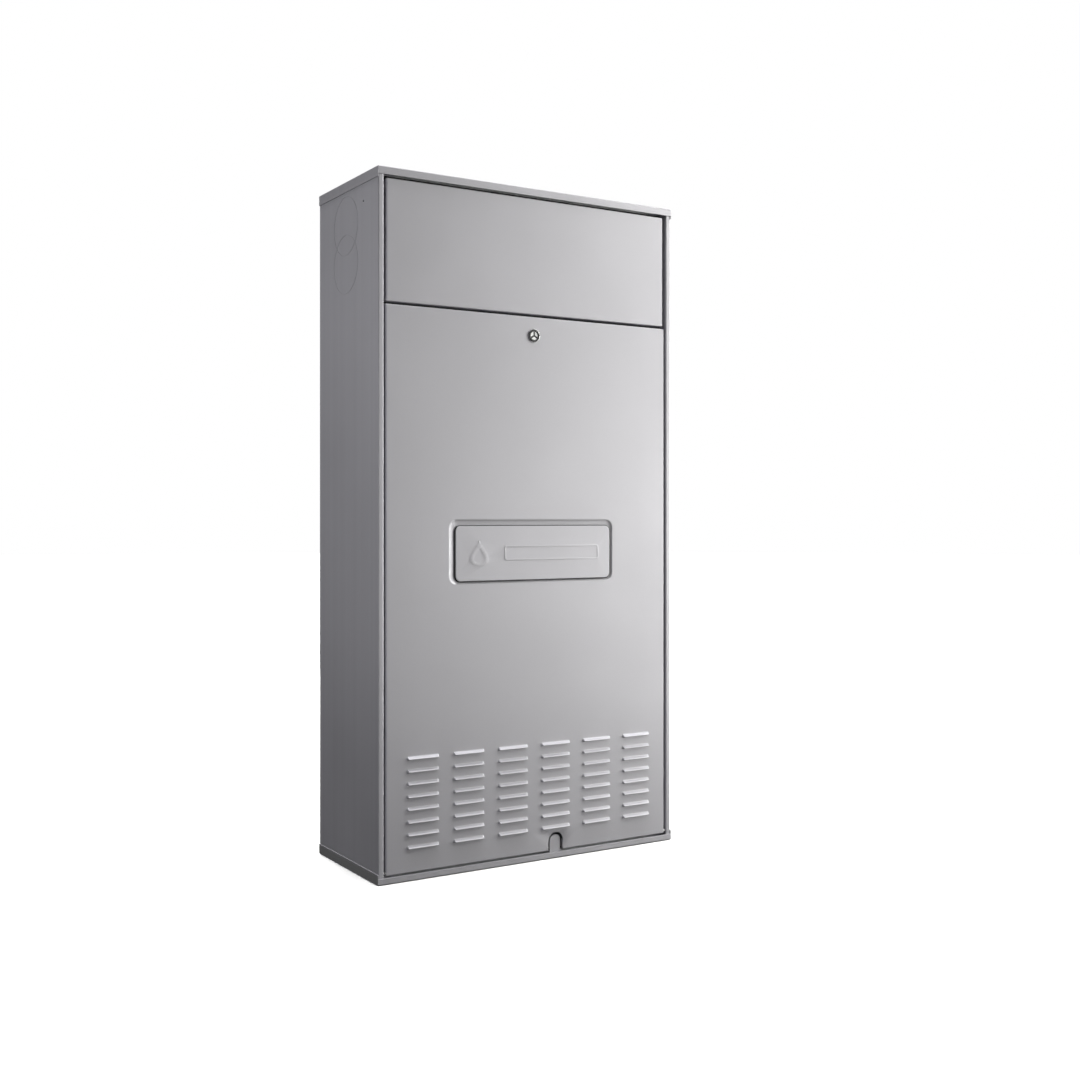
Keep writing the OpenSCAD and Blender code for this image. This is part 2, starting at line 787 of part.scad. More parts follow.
module fan_impeller() {
    blades = 16;
    color(zinc) {
        y_rod(fan_x, fan_z, 4, fan_y0 - 10, fan_y0 + 12);
        y_rod(fan_x, fan_z, 12, fan_y0 + 8, fan_y0 + 18);
        y_rod(fan_x, fan_z, 62, fan_y0 + 8, fan_y0 + 10);
        for (i = [0:blades - 1])
            translate([fan_x, fan_y0 + 10, fan_z]) rotate([0, i * 360 / blades, 0])
                span([36, -0.5, -0.8], [60, 22, 0.8]);
    }
}

module venturi() {
    color(steel) difference() {
        union() {
            y_rod(fan_x, fan_z, 32, fan_y1, fan_y1 + 58);
            z_rod(fan_x, air_y, 25, fan_z + 20, fan_z + 60);
            z_rod(fan_x, air_y, 12, fan_z - 60, fan_z - 20);
        }
        y_rod(fan_x, fan_z, 26, fan_y1 - 1, fan_y1 + 54);
        z_rod(fan_x, air_y, 21, fan_z, fan_z + 61);
        z_rod(fan_x, air_y, 8, fan_z - 61, fan_z);
    }
}

module air_silencer() {
    color(black) difference() {
        union() {
            z_rod(fan_x, air_y, 25, fan_z + 60, 1040);
            for (z = [860:30:1010]) z_rod(fan_x, air_y, 28, z, z + 14);
        }
        z_rod(fan_x, air_y, 21, fan_z + 59, 1041);
    }
}

module gas_valve() {
    valve_z1 = fan_z - 72;
    color(zinc) difference() {
        union() {
            span([fan_x - 34, -20, valve_z1 - 80], [fan_x + 34, 40, valve_z1]);
            z_rod(fan_x, air_y, 14, valve_z1, fan_z - 60);
            z_rod(fan_x, -5, 13, valve_z1 - 95, valve_z1 - 80);
            for (z = [valve_z1 - 58, valve_z1 - 24]) y_rod(fan_x - 10, z, 14, -52, -20);
            y_rod(fan_x + 20, valve_z1 - 40, 8, -30, -20);
        }
        z_rod(fan_x, air_y, 8, valve_z1 - 20, fan_z - 59);
    }
}

module gas_pipe() {
    color(copper) tube([
        [gas_x, connection_y, union_z], [gas_x, connection_y, union_z + 22], [gas_x, -5, union_z + 22],
        [gas_x, -5, 570], [fan_x, -5, 570], [fan_x, -5, 595]
    ], 9, 16);
}

// ---- Expansion vessel ----

module expansion_vessel() {
    color([0.72, 0.12, 0.1]) {
        xz_slab(vessel_x, vessel_z, 236, vessel_h, 40, 50, 76);
        xz_slab(vessel_x, vessel_z, 244, vessel_h + 8, 44, 76, 80);
        xz_slab(vessel_x, vessel_z, 236, vessel_h, 40, 80, 110);
        xz_slab(vessel_x, vessel_z, 120, 260, 30, 110, frame_plate_y);
        // Water port at the foot and gas charging valve at the top
        z_rod(hose_x, vessel_port_y, 9, vessel_z - vessel_h / 2 - 16, vessel_z - vessel_h / 2 + 2);
        z_rod(235, vessel_port_y, 5, vessel_z + vessel_h / 2 - 2, vessel_z + vessel_h / 2 + 15);
    }
}

module vessel_hose() {
    color(steel) tube([
        [hose_x, vessel_port_y, 629], [hose_x, vessel_port_y, 500], [hose_x, connection_y, 500],
        [hose_x, connection_y, port_z], [210, connection_y, port_z]
    ], 6, 12);
}

// ---- Pump and hydraulics ----

module pump_body() {
    color(brass) difference() {
        union() {
            y_rod(pump_x, pump_z, pump_r, 10, 50);
            z_rod(pump_x, pump_y, 13, pump_z + 40, pump_z + 70);
            z_rod(pump_x, pump_y, 13, group_z1, pump_z - 40);
        }
        y_rod(pump_x, pump_z, pump_r - 8, 18, 44);
        y_rod(pump_x, pump_z, 8, 9, 19);
    }
}

module pump_motor() {
    color(black) difference() {
        union() {
            y_rod(pump_x, pump_z, 44, -48, 10);
            y_rod(pump_x, pump_z, 36, -60, -48);
            span([pump_x - 62, -50, pump_z - 30], [pump_x - 38, 0, pump_z + 30]);
        }
        y_rod(pump_x, pump_z, 5.05, -20, 11);
    }
}

module pump_rotor() {
    vanes = 6;
    color(steel) {
        y_rod(pump_x, pump_z, 5, -18, 26);
        y_rod(pump_x, pump_z, 36, 24, 27);
        for (i = [0:vanes - 1])
            translate([pump_x, 27, pump_z]) rotate([0, i * 360 / vanes, 0])
                span([0, -1, -1.5], [34, 12, 1.5]);
    }
}

module plate_exchanger() {
    color(steel) {
        span([-55, 28, 262], [35, 108, 266]);
        for (i = [0:17]) xy_slab(-10, 68, 86, 76, 8, 266 + i * 10, 271 + i * 10);
        for (i = [0:16]) xy_slab(-10, 68, 82, 72, 8, 271 + i * 10, 276 + i * 10);
        xy_slab(-10, 68, 90, 80, 8, 441, 445);
        for (x = [-45, 25]) z_rod(x, 48, 9, group_z1, 262);
    }
}

// A machined block with a hexagon nut on each pipe connection below it
module hydraulic_group(x0, x1, stub_xs) {
    difference() {
        union() {
            xy_slab((x0 + x1) / 2, 40, x1 - x0, 40, 6, group_z0, group_z1);
            for (x = stub_xs) z_rod(x, connection_y, 11, union_z, group_z0);
        }
        for (x = stub_xs) z_rod(x, connection_y, 8, union_z - 1, group_z0 + 12);
    }
}

module flow_group() {
    color(brass) difference() {
        hydraulic_group(-190, -35, [flow_x, hot_x]);
        x_rod(connection_y, port_z, 4.05, -191, -138);
    }
}

module return_group() {
    color(brass) hydraulic_group(15, 210, [cold_x, return_x]);
}

module diverter_actuator() {
    color(black) difference() {
        union() {
            span([-262, 16, 196], [-200, 64, 250]);
            x_rod(connection_y, port_z, 13, -200, -190);
        }
        x_rod(connection_y, port_z, 4.05, -226, -189);
    }
}

module diverter_spindle() {
    color(steel) {
        x_rod(connection_y, port_z, 4, -216, -150);
    }
}

module safety_valve() {
    color(brass) difference() {
        union() {
            y_rod(relief_x, port_z, 12, -12, 20);
            z_rod(relief_x, 2, 7, 190, port_z);
        }
        y_rod(relief_x, port_z, 3.05, -13, 8);
    }
}

module relief_knob() {
    color([0.75, 0.1, 0.08]) {
        y_rod(relief_x, port_z, 15, -30, -13);
        y_rod(relief_x, port_z, 3, -13, 6);
        for (a = [0:60:300])
            translate([relief_x, 0, port_z]) rotate([0, a, 0]) span([13, -29, -2], [17, -14, 2]);
    }
}

module condensate_trap() {
    color([0.86, 0.86, 0.84]) difference() {
        union() {
            z_rod(ex_x, air_y, 26, 275, 400);
            z_rod(ex_x, air_y, 29, 262, 282);
            z_rod(ex_x, air_y, 10, 400, 680);
            tube([
                [ex_x, -12, 370], [ex_x, trap_outlet_y, 370], [ex_x, trap_outlet_y, 120]
            ], 10, 14);
            z_rod(ex_x, trap_outlet_y, 14, 100, 124);
        }
        z_rod(ex_x, air_y, 8, 390, 681);
        z_rod(ex_x, air_y, 23, 278, 395);
        z_rod(ex_x, trap_outlet_y, condensate_bore_r, 99, 100 + socket_len);
        z_rod(ex_x, trap_outlet_y, 7.5, 99, 150);
    }
}

module flow_pipe() {
    color(copper) tube([
        [ex_x - shell_r - 18, stub_ys[0], ex_z], [riser_x, stub_ys[0], ex_z], [riser_x, stub_ys[0], 290],
        [riser_x, connection_y, 290], [flow_x, connection_y, 290], [flow_x, connection_y, group_z1]
    ], 10, 18);
}

module return_pipe() {
    color(copper) tube([
        [pump_x, pump_y, pump_z + 70], [pump_x, pump_y, crossing_z], [pump_x, stub_ys[1], crossing_z],
        [riser_x, stub_ys[1], crossing_z], [riser_x, stub_ys[1], ex_z],
        [ex_x - shell_r - 18, stub_ys[1], ex_z]
    ], 10, 18);
}

// ---- Service valves ----

module service_valve(x, bore_r) {
    difference() {
        union() {
            z_rod(x, connection_y, 17, valve_z0, valve_z0 + 22);
            z_rod(x, connection_y, 14, valve_z0 + 22, union_z - 16);
            translate([x, connection_y, union_z - 16]) cylinder(r = 18, h = 16, $fn = 6);
            y_rod(x, stem_z, 9, 16, connection_y);
        }
        z_rod(x, connection_y, bore_r, valve_z0 - 1, valve_z0 + socket_len);
        z_rod(x, connection_y, 6, valve_z0 + 10, union_z + 1);
        y_rod(x, stem_z, 4.05, 15, 28);
    }
}

module service_valves() {
    color(brass) {
        for (x = [flow_x, gas_x, return_x]) service_valve(x, heating_bore_r);
        service_valve(cold_x, water_bore_r);
        // Plain union of the hot water outlet
        difference() {
            union() {
                z_rod(hot_x, connection_y, 15, valve_z0, union_z - 16);
                translate([hot_x, connection_y, union_z - 16]) cylinder(r = 18, h = 16, $fn = 6);
            }
            z_rod(hot_x, connection_y, water_bore_r, valve_z0 - 1, valve_z0 + socket_len);
            z_rod(hot_x, connection_y, 6, valve_z0 + 10, union_z + 1);
        }
    }
}

// A quarter-turn lever, upright when the valve is open
module lever(x, paint_color) {
    color(paint_color) {
        y_rod(x, stem_z, 4, 2, 27);
        y_rod(x, stem_z, 9, -2, 6);
        xz_slab(x, stem_z + 26, 13, 56, 6, -2, 2);
    }
}

module gas_lever() {
    lever(gas_x, [0.95, 0.78, 0.1]);
}

module flow_lever() {
    lever(flow_x, [0.75, 0.1, 0.08]);
}

module return_lever() {
    lever(return_x, [0.1, 0.25, 0.7]);
}

module cold_lever() {
    lever(cold_x, [0.1, 0.25, 0.7]);
}

// ---- Controls ----

module control_box() {
    color(black) difference() {
        span([box_x0, box_y0, box_z0], [box_x1, box_y1, box_z1]);
        span([box_x0 + box_wall, box_y0 + box_wall, box_z0 + box_wall],
            [box_x1 - box_wall, box_y1 - box_wall, box_z1 - box_wall]);
        y_rod(knob_x, knob_z, 3.05, box_y0 - 1, box_y0 + box_wall + 1);
        y_rod(button_x, knob_z, 6.3, box_y0 - 1, box_y0 + box_wall + 1);
        y_rod(gauge_x, gauge_z, 20.2, box_y0 - 1, box_y0 + box_wall + 1);
        span([display_x - 34, box_y0 - 1, knob_z - 17], [display_x + 34, box_y0 + 1, knob_z + 17]);
    }
}

module control_board() {
    color([0.1, 0.4, 0.2]) {
        span([box_x0 + 10, -58, box_z0 + 10], [box_x1 - 10, -56.4, box_z1 - 10]);
        for (x = [-225, -190, -155]) span([x, -70, 520], [x + 22, -58, 545]);
        span([-110, -74, 520], [-60, -58, 550]);
        span([-20, -66, 520], [40, -58, 534]);
        // Spacers on the back wall
        for (x = [box_x0 + 20, box_x1 - 20], z = [box_z0 + 20, box_z1 - 20])
            y_rod(x, z, 4, -56.4, box_y1 - box_wall);
    }
}

module heating_knob() {
    color([0.8, 0.8, 0.82]) difference() {
        union() {
            y_rod(knob_x, knob_z, 16, box_y0 - 13, box_y0 - 0.5);
            y_rod(knob_x, knob_z, 3, box_y0 - 1, box_y0 + 12);
        }
        span([knob_x - 1, box_y0 - 14, knob_z + 4], [knob_x + 1, box_y0 - 12, knob_z + 15]);
    }
}

module reset_button() {
    color([0.8, 0.8, 0.82]) {
        y_rod(button_x, knob_z, 6, box_y0 - 3, box_y0 + 6);
        y_rod(button_x, knob_z, 8, box_y0 + box_wall + 0.1, box_y0 + box_wall + 1.6);
    }
}

module pressure_gauge() {
    color(black) difference() {
        union() {
            y_rod(gauge_x, gauge_z, 20, box_y0 - 3, box_y0 + 16);
            y_rod(gauge_x, gauge_z, 22.5, box_y0 - 3, box_y0);
        }
        y_rod(gauge_x, gauge_z, 18, box_y0 - 4, box_y0 + 1);
        y_rod(gauge_x, gauge_z, 1.55, box_y0, box_y0 + 6);
    }
}

module gauge_needle() {
    color([0.8, 0.1, 0.1]) {
        y_rod(gauge_x, gauge_z, 1.5, box_y0 - 1, box_y0 + 5);
        y_rod(gauge_x, gauge_z, 3, box_y0 - 1.8, box_y0 - 0.6);
        translate([gauge_x, 0, gauge_z]) rotate([0, -135, 0])
            span([-0.7, box_y0 - 1.6, 0], [0.7, box_y0 - 0.8, 14]);
    }
}

module wiring() {
    color(black) {
        // Ignition lead, fan lead and pump lead
        tube([
            [-200, -60, box_z1], [-200, -60, 848], [ex_x + electrode_dx, -60, 848],
            [ex_x + electrode_dx, -60, ex_z + electrode_dz + 4]
        ], 2, 8);
        tube([[30, -80, box_z1], [30, -80, 666], [fan_x, -80, 666], [fan_x, -80, fan_z - 56]], 2.5, 10);
        tube([
            [40, -60, box_z0], [40, -60, 450], [140, -60, 450], [140, -25, 450], [140, -25, pump_z + 30]
        ], 2.5, 10);
    }
}

top_cap();
bottom_tray();
left_side_panel();
right_side_panel();
back_panel();
cross_rails();
frame_seal();
hinge_pins();
fasteners();
louvred_door();
badge_plate();
door_stiffeners();
lock_housing();
lock_core();
lock_cam();
upper_panel();
panel_studs();
flue_collar();
flue_pipe();
boiler_frame();
exchanger_shell();
exchanger_coil();
burner_door();
burner_tube();
burner_gasket();
electrode();
fan_housing();
fan_motor();
fan_impeller();
venturi();
air_silencer();
gas_valve();
gas_pipe();
expansion_vessel();
vessel_hose();
pump_body();
pump_motor();
pump_rotor();
plate_exchanger();
flow_group();
return_group();
diverter_actuator();
diverter_spindle();
safety_valve();
relief_knob();
pressure_gauge();
gauge_needle();
condensate_trap();
flow_pipe();
return_pipe();
service_valves();
gas_lever();
flow_lever();
return_lever();
cold_lever();
control_box();
control_board();
heating_knob();
reset_button();
wiring();
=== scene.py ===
import json
import math

import bmesh
import bpy
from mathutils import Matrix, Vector
from mathutils.geometry import delaunay_2d_cdt


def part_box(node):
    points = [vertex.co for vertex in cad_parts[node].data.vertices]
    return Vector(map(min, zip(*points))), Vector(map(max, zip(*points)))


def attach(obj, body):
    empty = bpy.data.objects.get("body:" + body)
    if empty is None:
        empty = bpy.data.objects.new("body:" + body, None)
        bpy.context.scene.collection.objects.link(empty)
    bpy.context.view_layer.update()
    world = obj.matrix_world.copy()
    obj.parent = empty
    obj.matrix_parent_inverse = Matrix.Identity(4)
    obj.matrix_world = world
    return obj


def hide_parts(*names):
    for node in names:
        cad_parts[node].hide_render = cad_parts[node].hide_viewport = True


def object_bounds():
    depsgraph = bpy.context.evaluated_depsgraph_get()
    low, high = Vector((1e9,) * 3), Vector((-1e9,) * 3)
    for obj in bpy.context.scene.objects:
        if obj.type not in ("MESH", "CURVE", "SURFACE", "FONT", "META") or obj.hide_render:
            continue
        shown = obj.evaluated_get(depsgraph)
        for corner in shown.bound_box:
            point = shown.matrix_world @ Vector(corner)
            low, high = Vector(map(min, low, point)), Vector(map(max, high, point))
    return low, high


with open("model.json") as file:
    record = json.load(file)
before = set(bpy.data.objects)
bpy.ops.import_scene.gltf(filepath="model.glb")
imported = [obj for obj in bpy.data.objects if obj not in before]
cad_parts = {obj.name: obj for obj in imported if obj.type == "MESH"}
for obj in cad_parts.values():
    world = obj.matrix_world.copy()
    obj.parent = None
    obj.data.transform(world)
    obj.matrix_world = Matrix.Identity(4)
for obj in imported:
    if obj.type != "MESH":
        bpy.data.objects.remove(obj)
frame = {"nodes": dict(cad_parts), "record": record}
cad_low, cad_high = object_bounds()
nodes = frame["nodes"]
node_slot = {part["node"]: part["material_slot"] for part in frame["record"]["subparts"]}
MM = 0.001

# ---- Camera, light and floor ----

VIEW_AZIMUTH = 31.75         # degrees to the left of the front
CAMERA_PLACE = Vector((-1.218, -2.1105, 0.604))
LENS_MM = 44.3
SENSOR_MM = 36
SHIFT_UP = -0.0213


def make_camera():
    data = bpy.data.cameras.new("camera")
    data.lens = LENS_MM
    data.sensor_width = SENSOR_MM
    data.shift_y = SHIFT_UP
    data.clip_end = 3 * FLOOR_RADIUS
    camera = bpy.data.objects.new("camera", data)
    camera.location = CAMERA_PLACE
    camera.rotation_euler = (math.radians(90), 0, math.radians(-VIEW_AZIMUTH))
    bpy.context.scene.collection.objects.link(camera)
    bpy.context.scene.camera = camera


SOFTBOXES = (                # degrees to the right of the front, height in metres, power in watts
    (80, 0.5, 68),
    (60, 2.3, 70),
    (60, 0.5, 10),
    (40, 0.5, 17),
    (-52, 0.7, 13),
    (-130, 1.8, 7.4),
    (-130, 0.7, 5.7),
    (172, 1.2, 60),
)
SOFTBOX_DISTANCE = 2.8
SOFTBOX_SIZE = 1.4
LIGHT_TARGET = Vector((0, 0, 0.68))
KEY_COLOUR = (1.0, 1.0, 0.945)
SKY_STRENGTH = 4.6
SKY_ANGLE = 0.5


def softbox(name, place, power, colour):
    data = bpy.data.lights.new(name, "AREA")
    data.shape = "RECTANGLE"
    data.size = data.size_y = SOFTBOX_SIZE
    data.energy = power
    data.color = colour
    light = bpy.data.objects.new(name, data)
    light.location = place
    light.rotation_euler = (LIGHT_TARGET - Vector(place)).to_track_quat("-Z", "Y").to_euler()
    light.visible_camera = False
    bpy.context.scene.collection.objects.link(light)


def make_lights():
    """Softboxes round the object, strongest on its right, and a wide soft light from straight above."""
    for number, (azimuth, height, power) in enumerate(SOFTBOXES):
        turn = math.radians(azimuth)
        place = (SOFTBOX_DISTANCE * math.sin(turn), -SOFTBOX_DISTANCE * math.cos(turn), height)
        softbox(f"softbox_{number}", place, power, KEY_COLOUR if azimuth > 0 else (1, 1, 1))
    data = bpy.data.lights.new("sky", "SUN")
    data.energy = SKY_STRENGTH
    data.angle = SKY_ANGLE
    bpy.context.scene.collection.objects.link(bpy.data.objects.new("sky", data))


FILL_STRENGTH = 0.04


def make_world():
    """A white surround to look at, and a dimmer one, brighter above than below, that lights the object."""
    world = bpy.data.worlds.new("studio")
    bpy.context.scene.world = world
    world.use_nodes = True
    tree = world.node_tree
    tree.nodes.clear()
    seen, lighting = (tree.nodes.new("ShaderNodeBackground") for _ in range(2))
    seen.inputs["Color"].default_value = (1, 1, 1, 1)
    seen.inputs["Strength"].default_value = 1.0
    height = tree.nodes.new("ShaderNodeSeparateXYZ")
    tree.links.new(tree.nodes.new("ShaderNodeTexCoord").outputs["Generated"], height.inputs[0])
    ramp = tree.nodes.new("ShaderNodeValToRGB")
    below, above = ramp.color_ramp.elements
    below.position, below.color = 0.3, (0.16, 0.16, 0.17, 1)
    above.position, above.color = 0.8, (0.42, 0.43, 0.45, 1)
    remap = tree.nodes.new("ShaderNodeMapRange")
    remap.inputs["From Min"].default_value = -1
    tree.links.new(height.outputs["Z"], remap.inputs["Value"])
    tree.links.new(remap.outputs[0], ramp.inputs[0])
    tree.links.new(ramp.outputs[0], lighting.inputs["Color"])
    lighting.inputs["Strength"].default_value = FILL_STRENGTH
    mix = tree.nodes.new("ShaderNodeMixShader")
    tree.links.new(tree.nodes.new("ShaderNodeLightPath").outputs["Is Camera Ray"], mix.inputs[0])
    tree.links.new(lighting.outputs[0], mix.inputs[1])
    tree.links.new(seen.outputs[0], mix.inputs[2])
    tree.links.new(mix.outputs[0], tree.nodes.new("ShaderNodeOutputWorld").inputs["Surface"])


FLOOR_SIDES = 96
FLOOR_RADIUS = 20.0
FLOOR_GAP = 0.0005           # between the object and the floor, in metres


def make_floor():
    """A large round floor with a rolled-down rim, just under the object."""
    bm = bmesh.new()
    profile = [(0.0, 0.0), (6.0, 0.0), (FLOOR_RADIUS, 0.0), (20.05, -0.02), (20.06, -0.05)]
    turns = [math.tau * i / FLOOR_SIDES for i in range(FLOOR_SIDES)]
    rows = []
    for radius, drop in profile:
        around = turns if radius else turns[:1]
        rows.append([bm.verts.new((radius * math.cos(t), radius * math.sin(t), drop)) for t in around])
    (centre,), inner_ring = rows[:2]
    for i in range(FLOOR_SIDES):
        bm.faces.new((centre, inner_ring[i], inner_ring[(i + 1) % FLOOR_SIDES]))
    join_all(bm, rows[:0:-1], closed=True)
    floor = object_from(bm, "floor", "pale_floor")
    floor.location.z = -FLOOR_GAP
    floor.visible_diffuse = False
    floor.visible_glossy = False


# ---- Materials ----

class Surface:
    """A material in the making: its node tree, and short ways to add the nodes that it needs."""

    def __init__(self, name, **values):
        self.material = bpy.data.materials.new(name)
        self.material.use_nodes = True
        self.tree = self.material.node_tree
        self.shader = self.tree.nodes["Principled BSDF"]
        for key, value in values.items():
            self.shader.inputs[key.replace("_", " ")].default_value = value
        self.place = self.add("TexCoord").outputs["Object"]

    def feed(self, socket, value):
        """Links an input to another node's output, or sets it to a value."""
        if isinstance(value, bpy.types.NodeSocket):
            self.tree.links.new(value, socket)
        else:
            socket.default_value = value

    def add(self, kind, **inputs):
        node = self.tree.nodes.new("ShaderNode" + kind)
        for key, value in inputs.items():
            self.feed(node.inputs[key.replace("_", " ")], value)
        return node

    def noise(self, scale, detail=3.0, roughness=0.5, stretch=(1, 1, 1)):
        mapping = self.add("Mapping", Vector=self.place, Scale=stretch)
        return self.add("TexNoise", Vector=mapping.outputs[0], Scale=scale, Detail=detail,
                        Roughness=roughness).outputs["Fac"]

    def cells(self, scale, stretch=(1, 1, 1), feature="F1", output="Distance"):
        mapping = self.add("Mapping", Vector=self.place, Scale=stretch)
        node = self.add("TexVoronoi", Vector=mapping.outputs[0], Scale=scale)
        node.feature = feature
        return node.outputs[output]

    def ramp(self, value, *stops):
        """A colour ramp: each stop is (position, grey level or colour)."""
        node = self.add("ValToRGB", Fac=value)
        elements = node.color_ramp.elements
        while len(elements) < len(stops):
            elements.new(0.5)
        for element, (position, level) in zip(elements, stops):
            element.position = position
            colour = (level,) * 3 if isinstance(level, (int, float)) else level
            element.color = (*colour, 1)
        return node.outputs["Color"]

    def mix(self, factor, first, second, blend="MIX"):
        node = self.tree.nodes.new("ShaderNodeMix")
        node.data_type = "RGBA"
        node.blend_type = blend
        for index, value in ((0, factor), (6, first), (7, second)):
            self.feed(node.inputs[index], (*value, 1) if isinstance(value, tuple) else value)
        return node.outputs[2]

    def math(self, operation, first, second=0.5):
        node = self.tree.nodes.new("ShaderNodeMath")
        node.operation = operation
        self.feed(node.inputs[0], first)
        self.feed(node.inputs[1], second)
        return node.outputs[0]

    def gaps(self, distance):
        """Near 0 in corners and gaps, and 1 on open faces."""
        return self.add("AmbientOcclusion", Distance=distance).outputs["AO"]

    def connect(self, colour=None, roughness=None, bumps=()):
        """bumps are (height, depth in metres) pairs, laid one on another."""
        if colour is not None:
            self.tree.links.new(colour, self.shader.inputs["Base Color"])
        if roughness is not None:
            self.tree.links.new(roughness, self.shader.inputs["Roughness"])
        normal = None
        for height, depth in bumps:
            bump = self.add("Bump", Height=height, Distance=depth)
            if normal is not None:
                self.tree.links.new(normal, bump.inputs["Normal"])
            normal = bump.outputs[0]
        if normal is not None:
            self.tree.links.new(normal, self.shader.inputs["Normal"])
        return self.material


def tint(colour, level):
    return tuple(channel * level for channel in colour)


def cabinet_paint():
    """Light grey powder coat, semi-gloss: a fine orange peel over sheet that isn't quite flat."""
    base = (0.504, 0.497, 0.540)
    s = Surface("cabinet_paint", Metallic=0.38, Coat_Weight=0.1, Coat_Roughness=0.3)
    blotches = s.ramp(s.noise(3.5, 4), (0.3, tint(base, 0.975)), (0.7, tint(base, 1.025)))
    grain = s.ramp(s.noise(1400, 2), (0.3, 0.95), (0.7, 1.0))
    colour = s.mix(1.0, blotches, grain, "MULTIPLY")
    # Wiped streaks on the cabinet's two sides only, and painted shade on the tray's and the cap's flanges
    # there
    facing = s.add("SeparateXYZ", Vector=s.add("NewGeometry").outputs["Normal"]).outputs["X"]
    side = s.math("GREATER_THAN", s.math("ABSOLUTE", facing), 0.8)
    streaks = s.ramp(s.noise(60, 2, 0.5, (1, 1, 0.003)), (0.3, 0.97), (0.7, 1.02))
    height = s.add("SeparateXYZ", Vector=s.place).outputs["Z"]
    # Painted shade: the side flanges of the tray and the cap are darkened; the stops are shares of the whole
    # height
    tray_shade = (0.66, 0.67, 0.63)
    flange_shade = s.ramp(s.math("DIVIDE", height, round(cad_high.z, 4)),
                     (0.0, tray_shade), (0.0145, tray_shade), (0.0165, 1.0), (0.983, 1.0), (0.9855, 0.86))
    streaks_and_flange_shade = s.mix(1.0, s.mix(1.0, colour, streaks, "MULTIPLY"), flange_shade, "MULTIPLY")
    colour = s.mix(side, colour, streaks_and_flange_shade)
    # Dust, and painted shade: darker in gaps, corners and recesses, down to half the base colour
    dust_and_gap_shade = s.ramp(s.gaps(0.005), (0.1, 0.0), (0.75, 1.0))
    colour = s.mix(dust_and_gap_shade, tint(base, 0.5), colour)
    roughness = s.ramp(s.noise(9, 5, 0.6), (0.3, 0.40), (0.7, 0.48))
    bumps = [(s.noise(2.2, 1), 0.0005), (s.noise(700, 2), 0.00002)]
    return s.connect(colour, roughness, bumps)


def galvanised():
    """Zinc-coated sheet with a faint spangle."""
    base = (0.58, 0.59, 0.60)
    s = Surface("galvanised", Metallic=0.6)
    crystal = s.add("SeparateXYZ", Vector=s.cells(55, output="Color")).outputs["X"]
    patches = s.ramp(s.noise(20, 4), (0.3, tint(base, 0.92)), (0.7, tint(base, 1.05)))
    colour = s.mix(1.0, patches, s.ramp(crystal, (0.0, 0.9), (1.0, 1.0)), "MULTIPLY")
    roughness = s.ramp(s.cells(55), (0.0, 0.42), (1.0, 0.56))
    return s.connect(colour, roughness, [(s.noise(500, 3), 0.00002)])


def plain(name, base, colour, roughness, bump, **values):
    """A finish of one colour. colour is (noise, darkest, lightest), roughness is (noise, least, most) and
    bump is (noise, depth in metres), where each noise is what Surface.noise takes."""
    s = Surface(name, **values)
    pattern, darkest, lightest = colour
    shade = s.ramp(s.noise(*pattern), (0.3, tint(base, darkest)), (0.7, tint(base, lightest)))
    pattern, least, most = roughness
    rough = s.ramp(s.noise(*pattern), (0.3, least), (0.7, most))
    pattern, depth = bump
    return s.connect(shade, rough, [(s.noise(*pattern), depth)])


def painted(name, base, roughness):
    return plain(name, base, ((14, 4), 0.9, 1.08), ((60, 3), roughness, roughness + 0.1),
                 ((600, 2), 0.00003), Coat_Weight=0.2, Coat_Roughness=0.2)


def moulded(name, base, roughness, grain):
    return plain(name, base, ((30, 4), 0.93, 1.05), ((120, 3), roughness, roughness + 0.1),
                 ((1100, 2), grain))


def plated_steel():
    return plain("plated_steel", (0.68, 0.68, 0.69), ((60, 4), 0.86, 1.05), ((220, 4), 0.2, 0.34),
                 ((900, 2), 0.00001), Metallic=1.0)


def bright_steel():
    """Satin steel, paler than the rest."""
    return plain("bright_steel", (0.86, 0.86, 0.87), ((200, 3), 0.92, 1.04), ((300, 3), 0.34, 0.46),
                 ((900, 2), 0.00001), Metallic=0.55)


def stainless():
    brushed = (60, 5, 0.6, (1, 1, 18))
    return plain("stainless", (0.60, 0.60, 0.61), (brushed, 0.93, 1.04), (brushed, 0.26, 0.36),
                 (brushed, 0.000005), Metallic=1.0)


def cast_alloy():
    return plain("cast_alloy", (0.50, 0.51, 0.52), ((60, 6, 0.65), 0.92, 1.05), ((90, 3), 0.48, 0.58),
                 ((700, 4), 0.00012), Metallic=0.9)


def pale_floor():
    return plain("pale_floor", (1, 1, 1), ((1.5, 4), 0.955, 0.975), ((6,), 0.75, 0.85),
                 ((300, 3), 0.00005), Specular_IOR_Level=0.1)


def foam():
    s = Surface("foam")
    pores = s.cells(900)
    colour = s.ramp(pores, (0.0, (0.012, 0.012, 0.013)), (0.5, (0.045, 0.045, 0.047)))
    return s.connect(colour, s.ramp(s.noise(40), (0.3, 0.85), (0.7, 0.97)), [(pores, 0.0002)])


def brass():
    base = (0.70, 0.50, 0.22)
    s = Surface("brass", Metallic=1.0)
    tarnish = s.noise(30, 6, 0.6)
    colour = s.ramp(tarnish, (0.3, tint(base, 0.72)), (0.62, base))
    return s.connect(colour, s.ramp(tarnish, (0.3, 0.42), (0.7, 0.26)), [(s.noise(800, 3), 0.00004)])


def copper():
    base = (0.74, 0.36, 0.22)
    s = Surface("copper", Metallic=1.0)
    tarnish = s.noise(16, 6, 0.65)
    colour = s.ramp(tarnish, (0.3, (0.42, 0.20, 0.13)), (0.62, base))
    return s.connect(colour, s.ramp(tarnish, (0.3, 0.42), (0.7, 0.22)), [(s.noise(300, 3), 0.00002)])


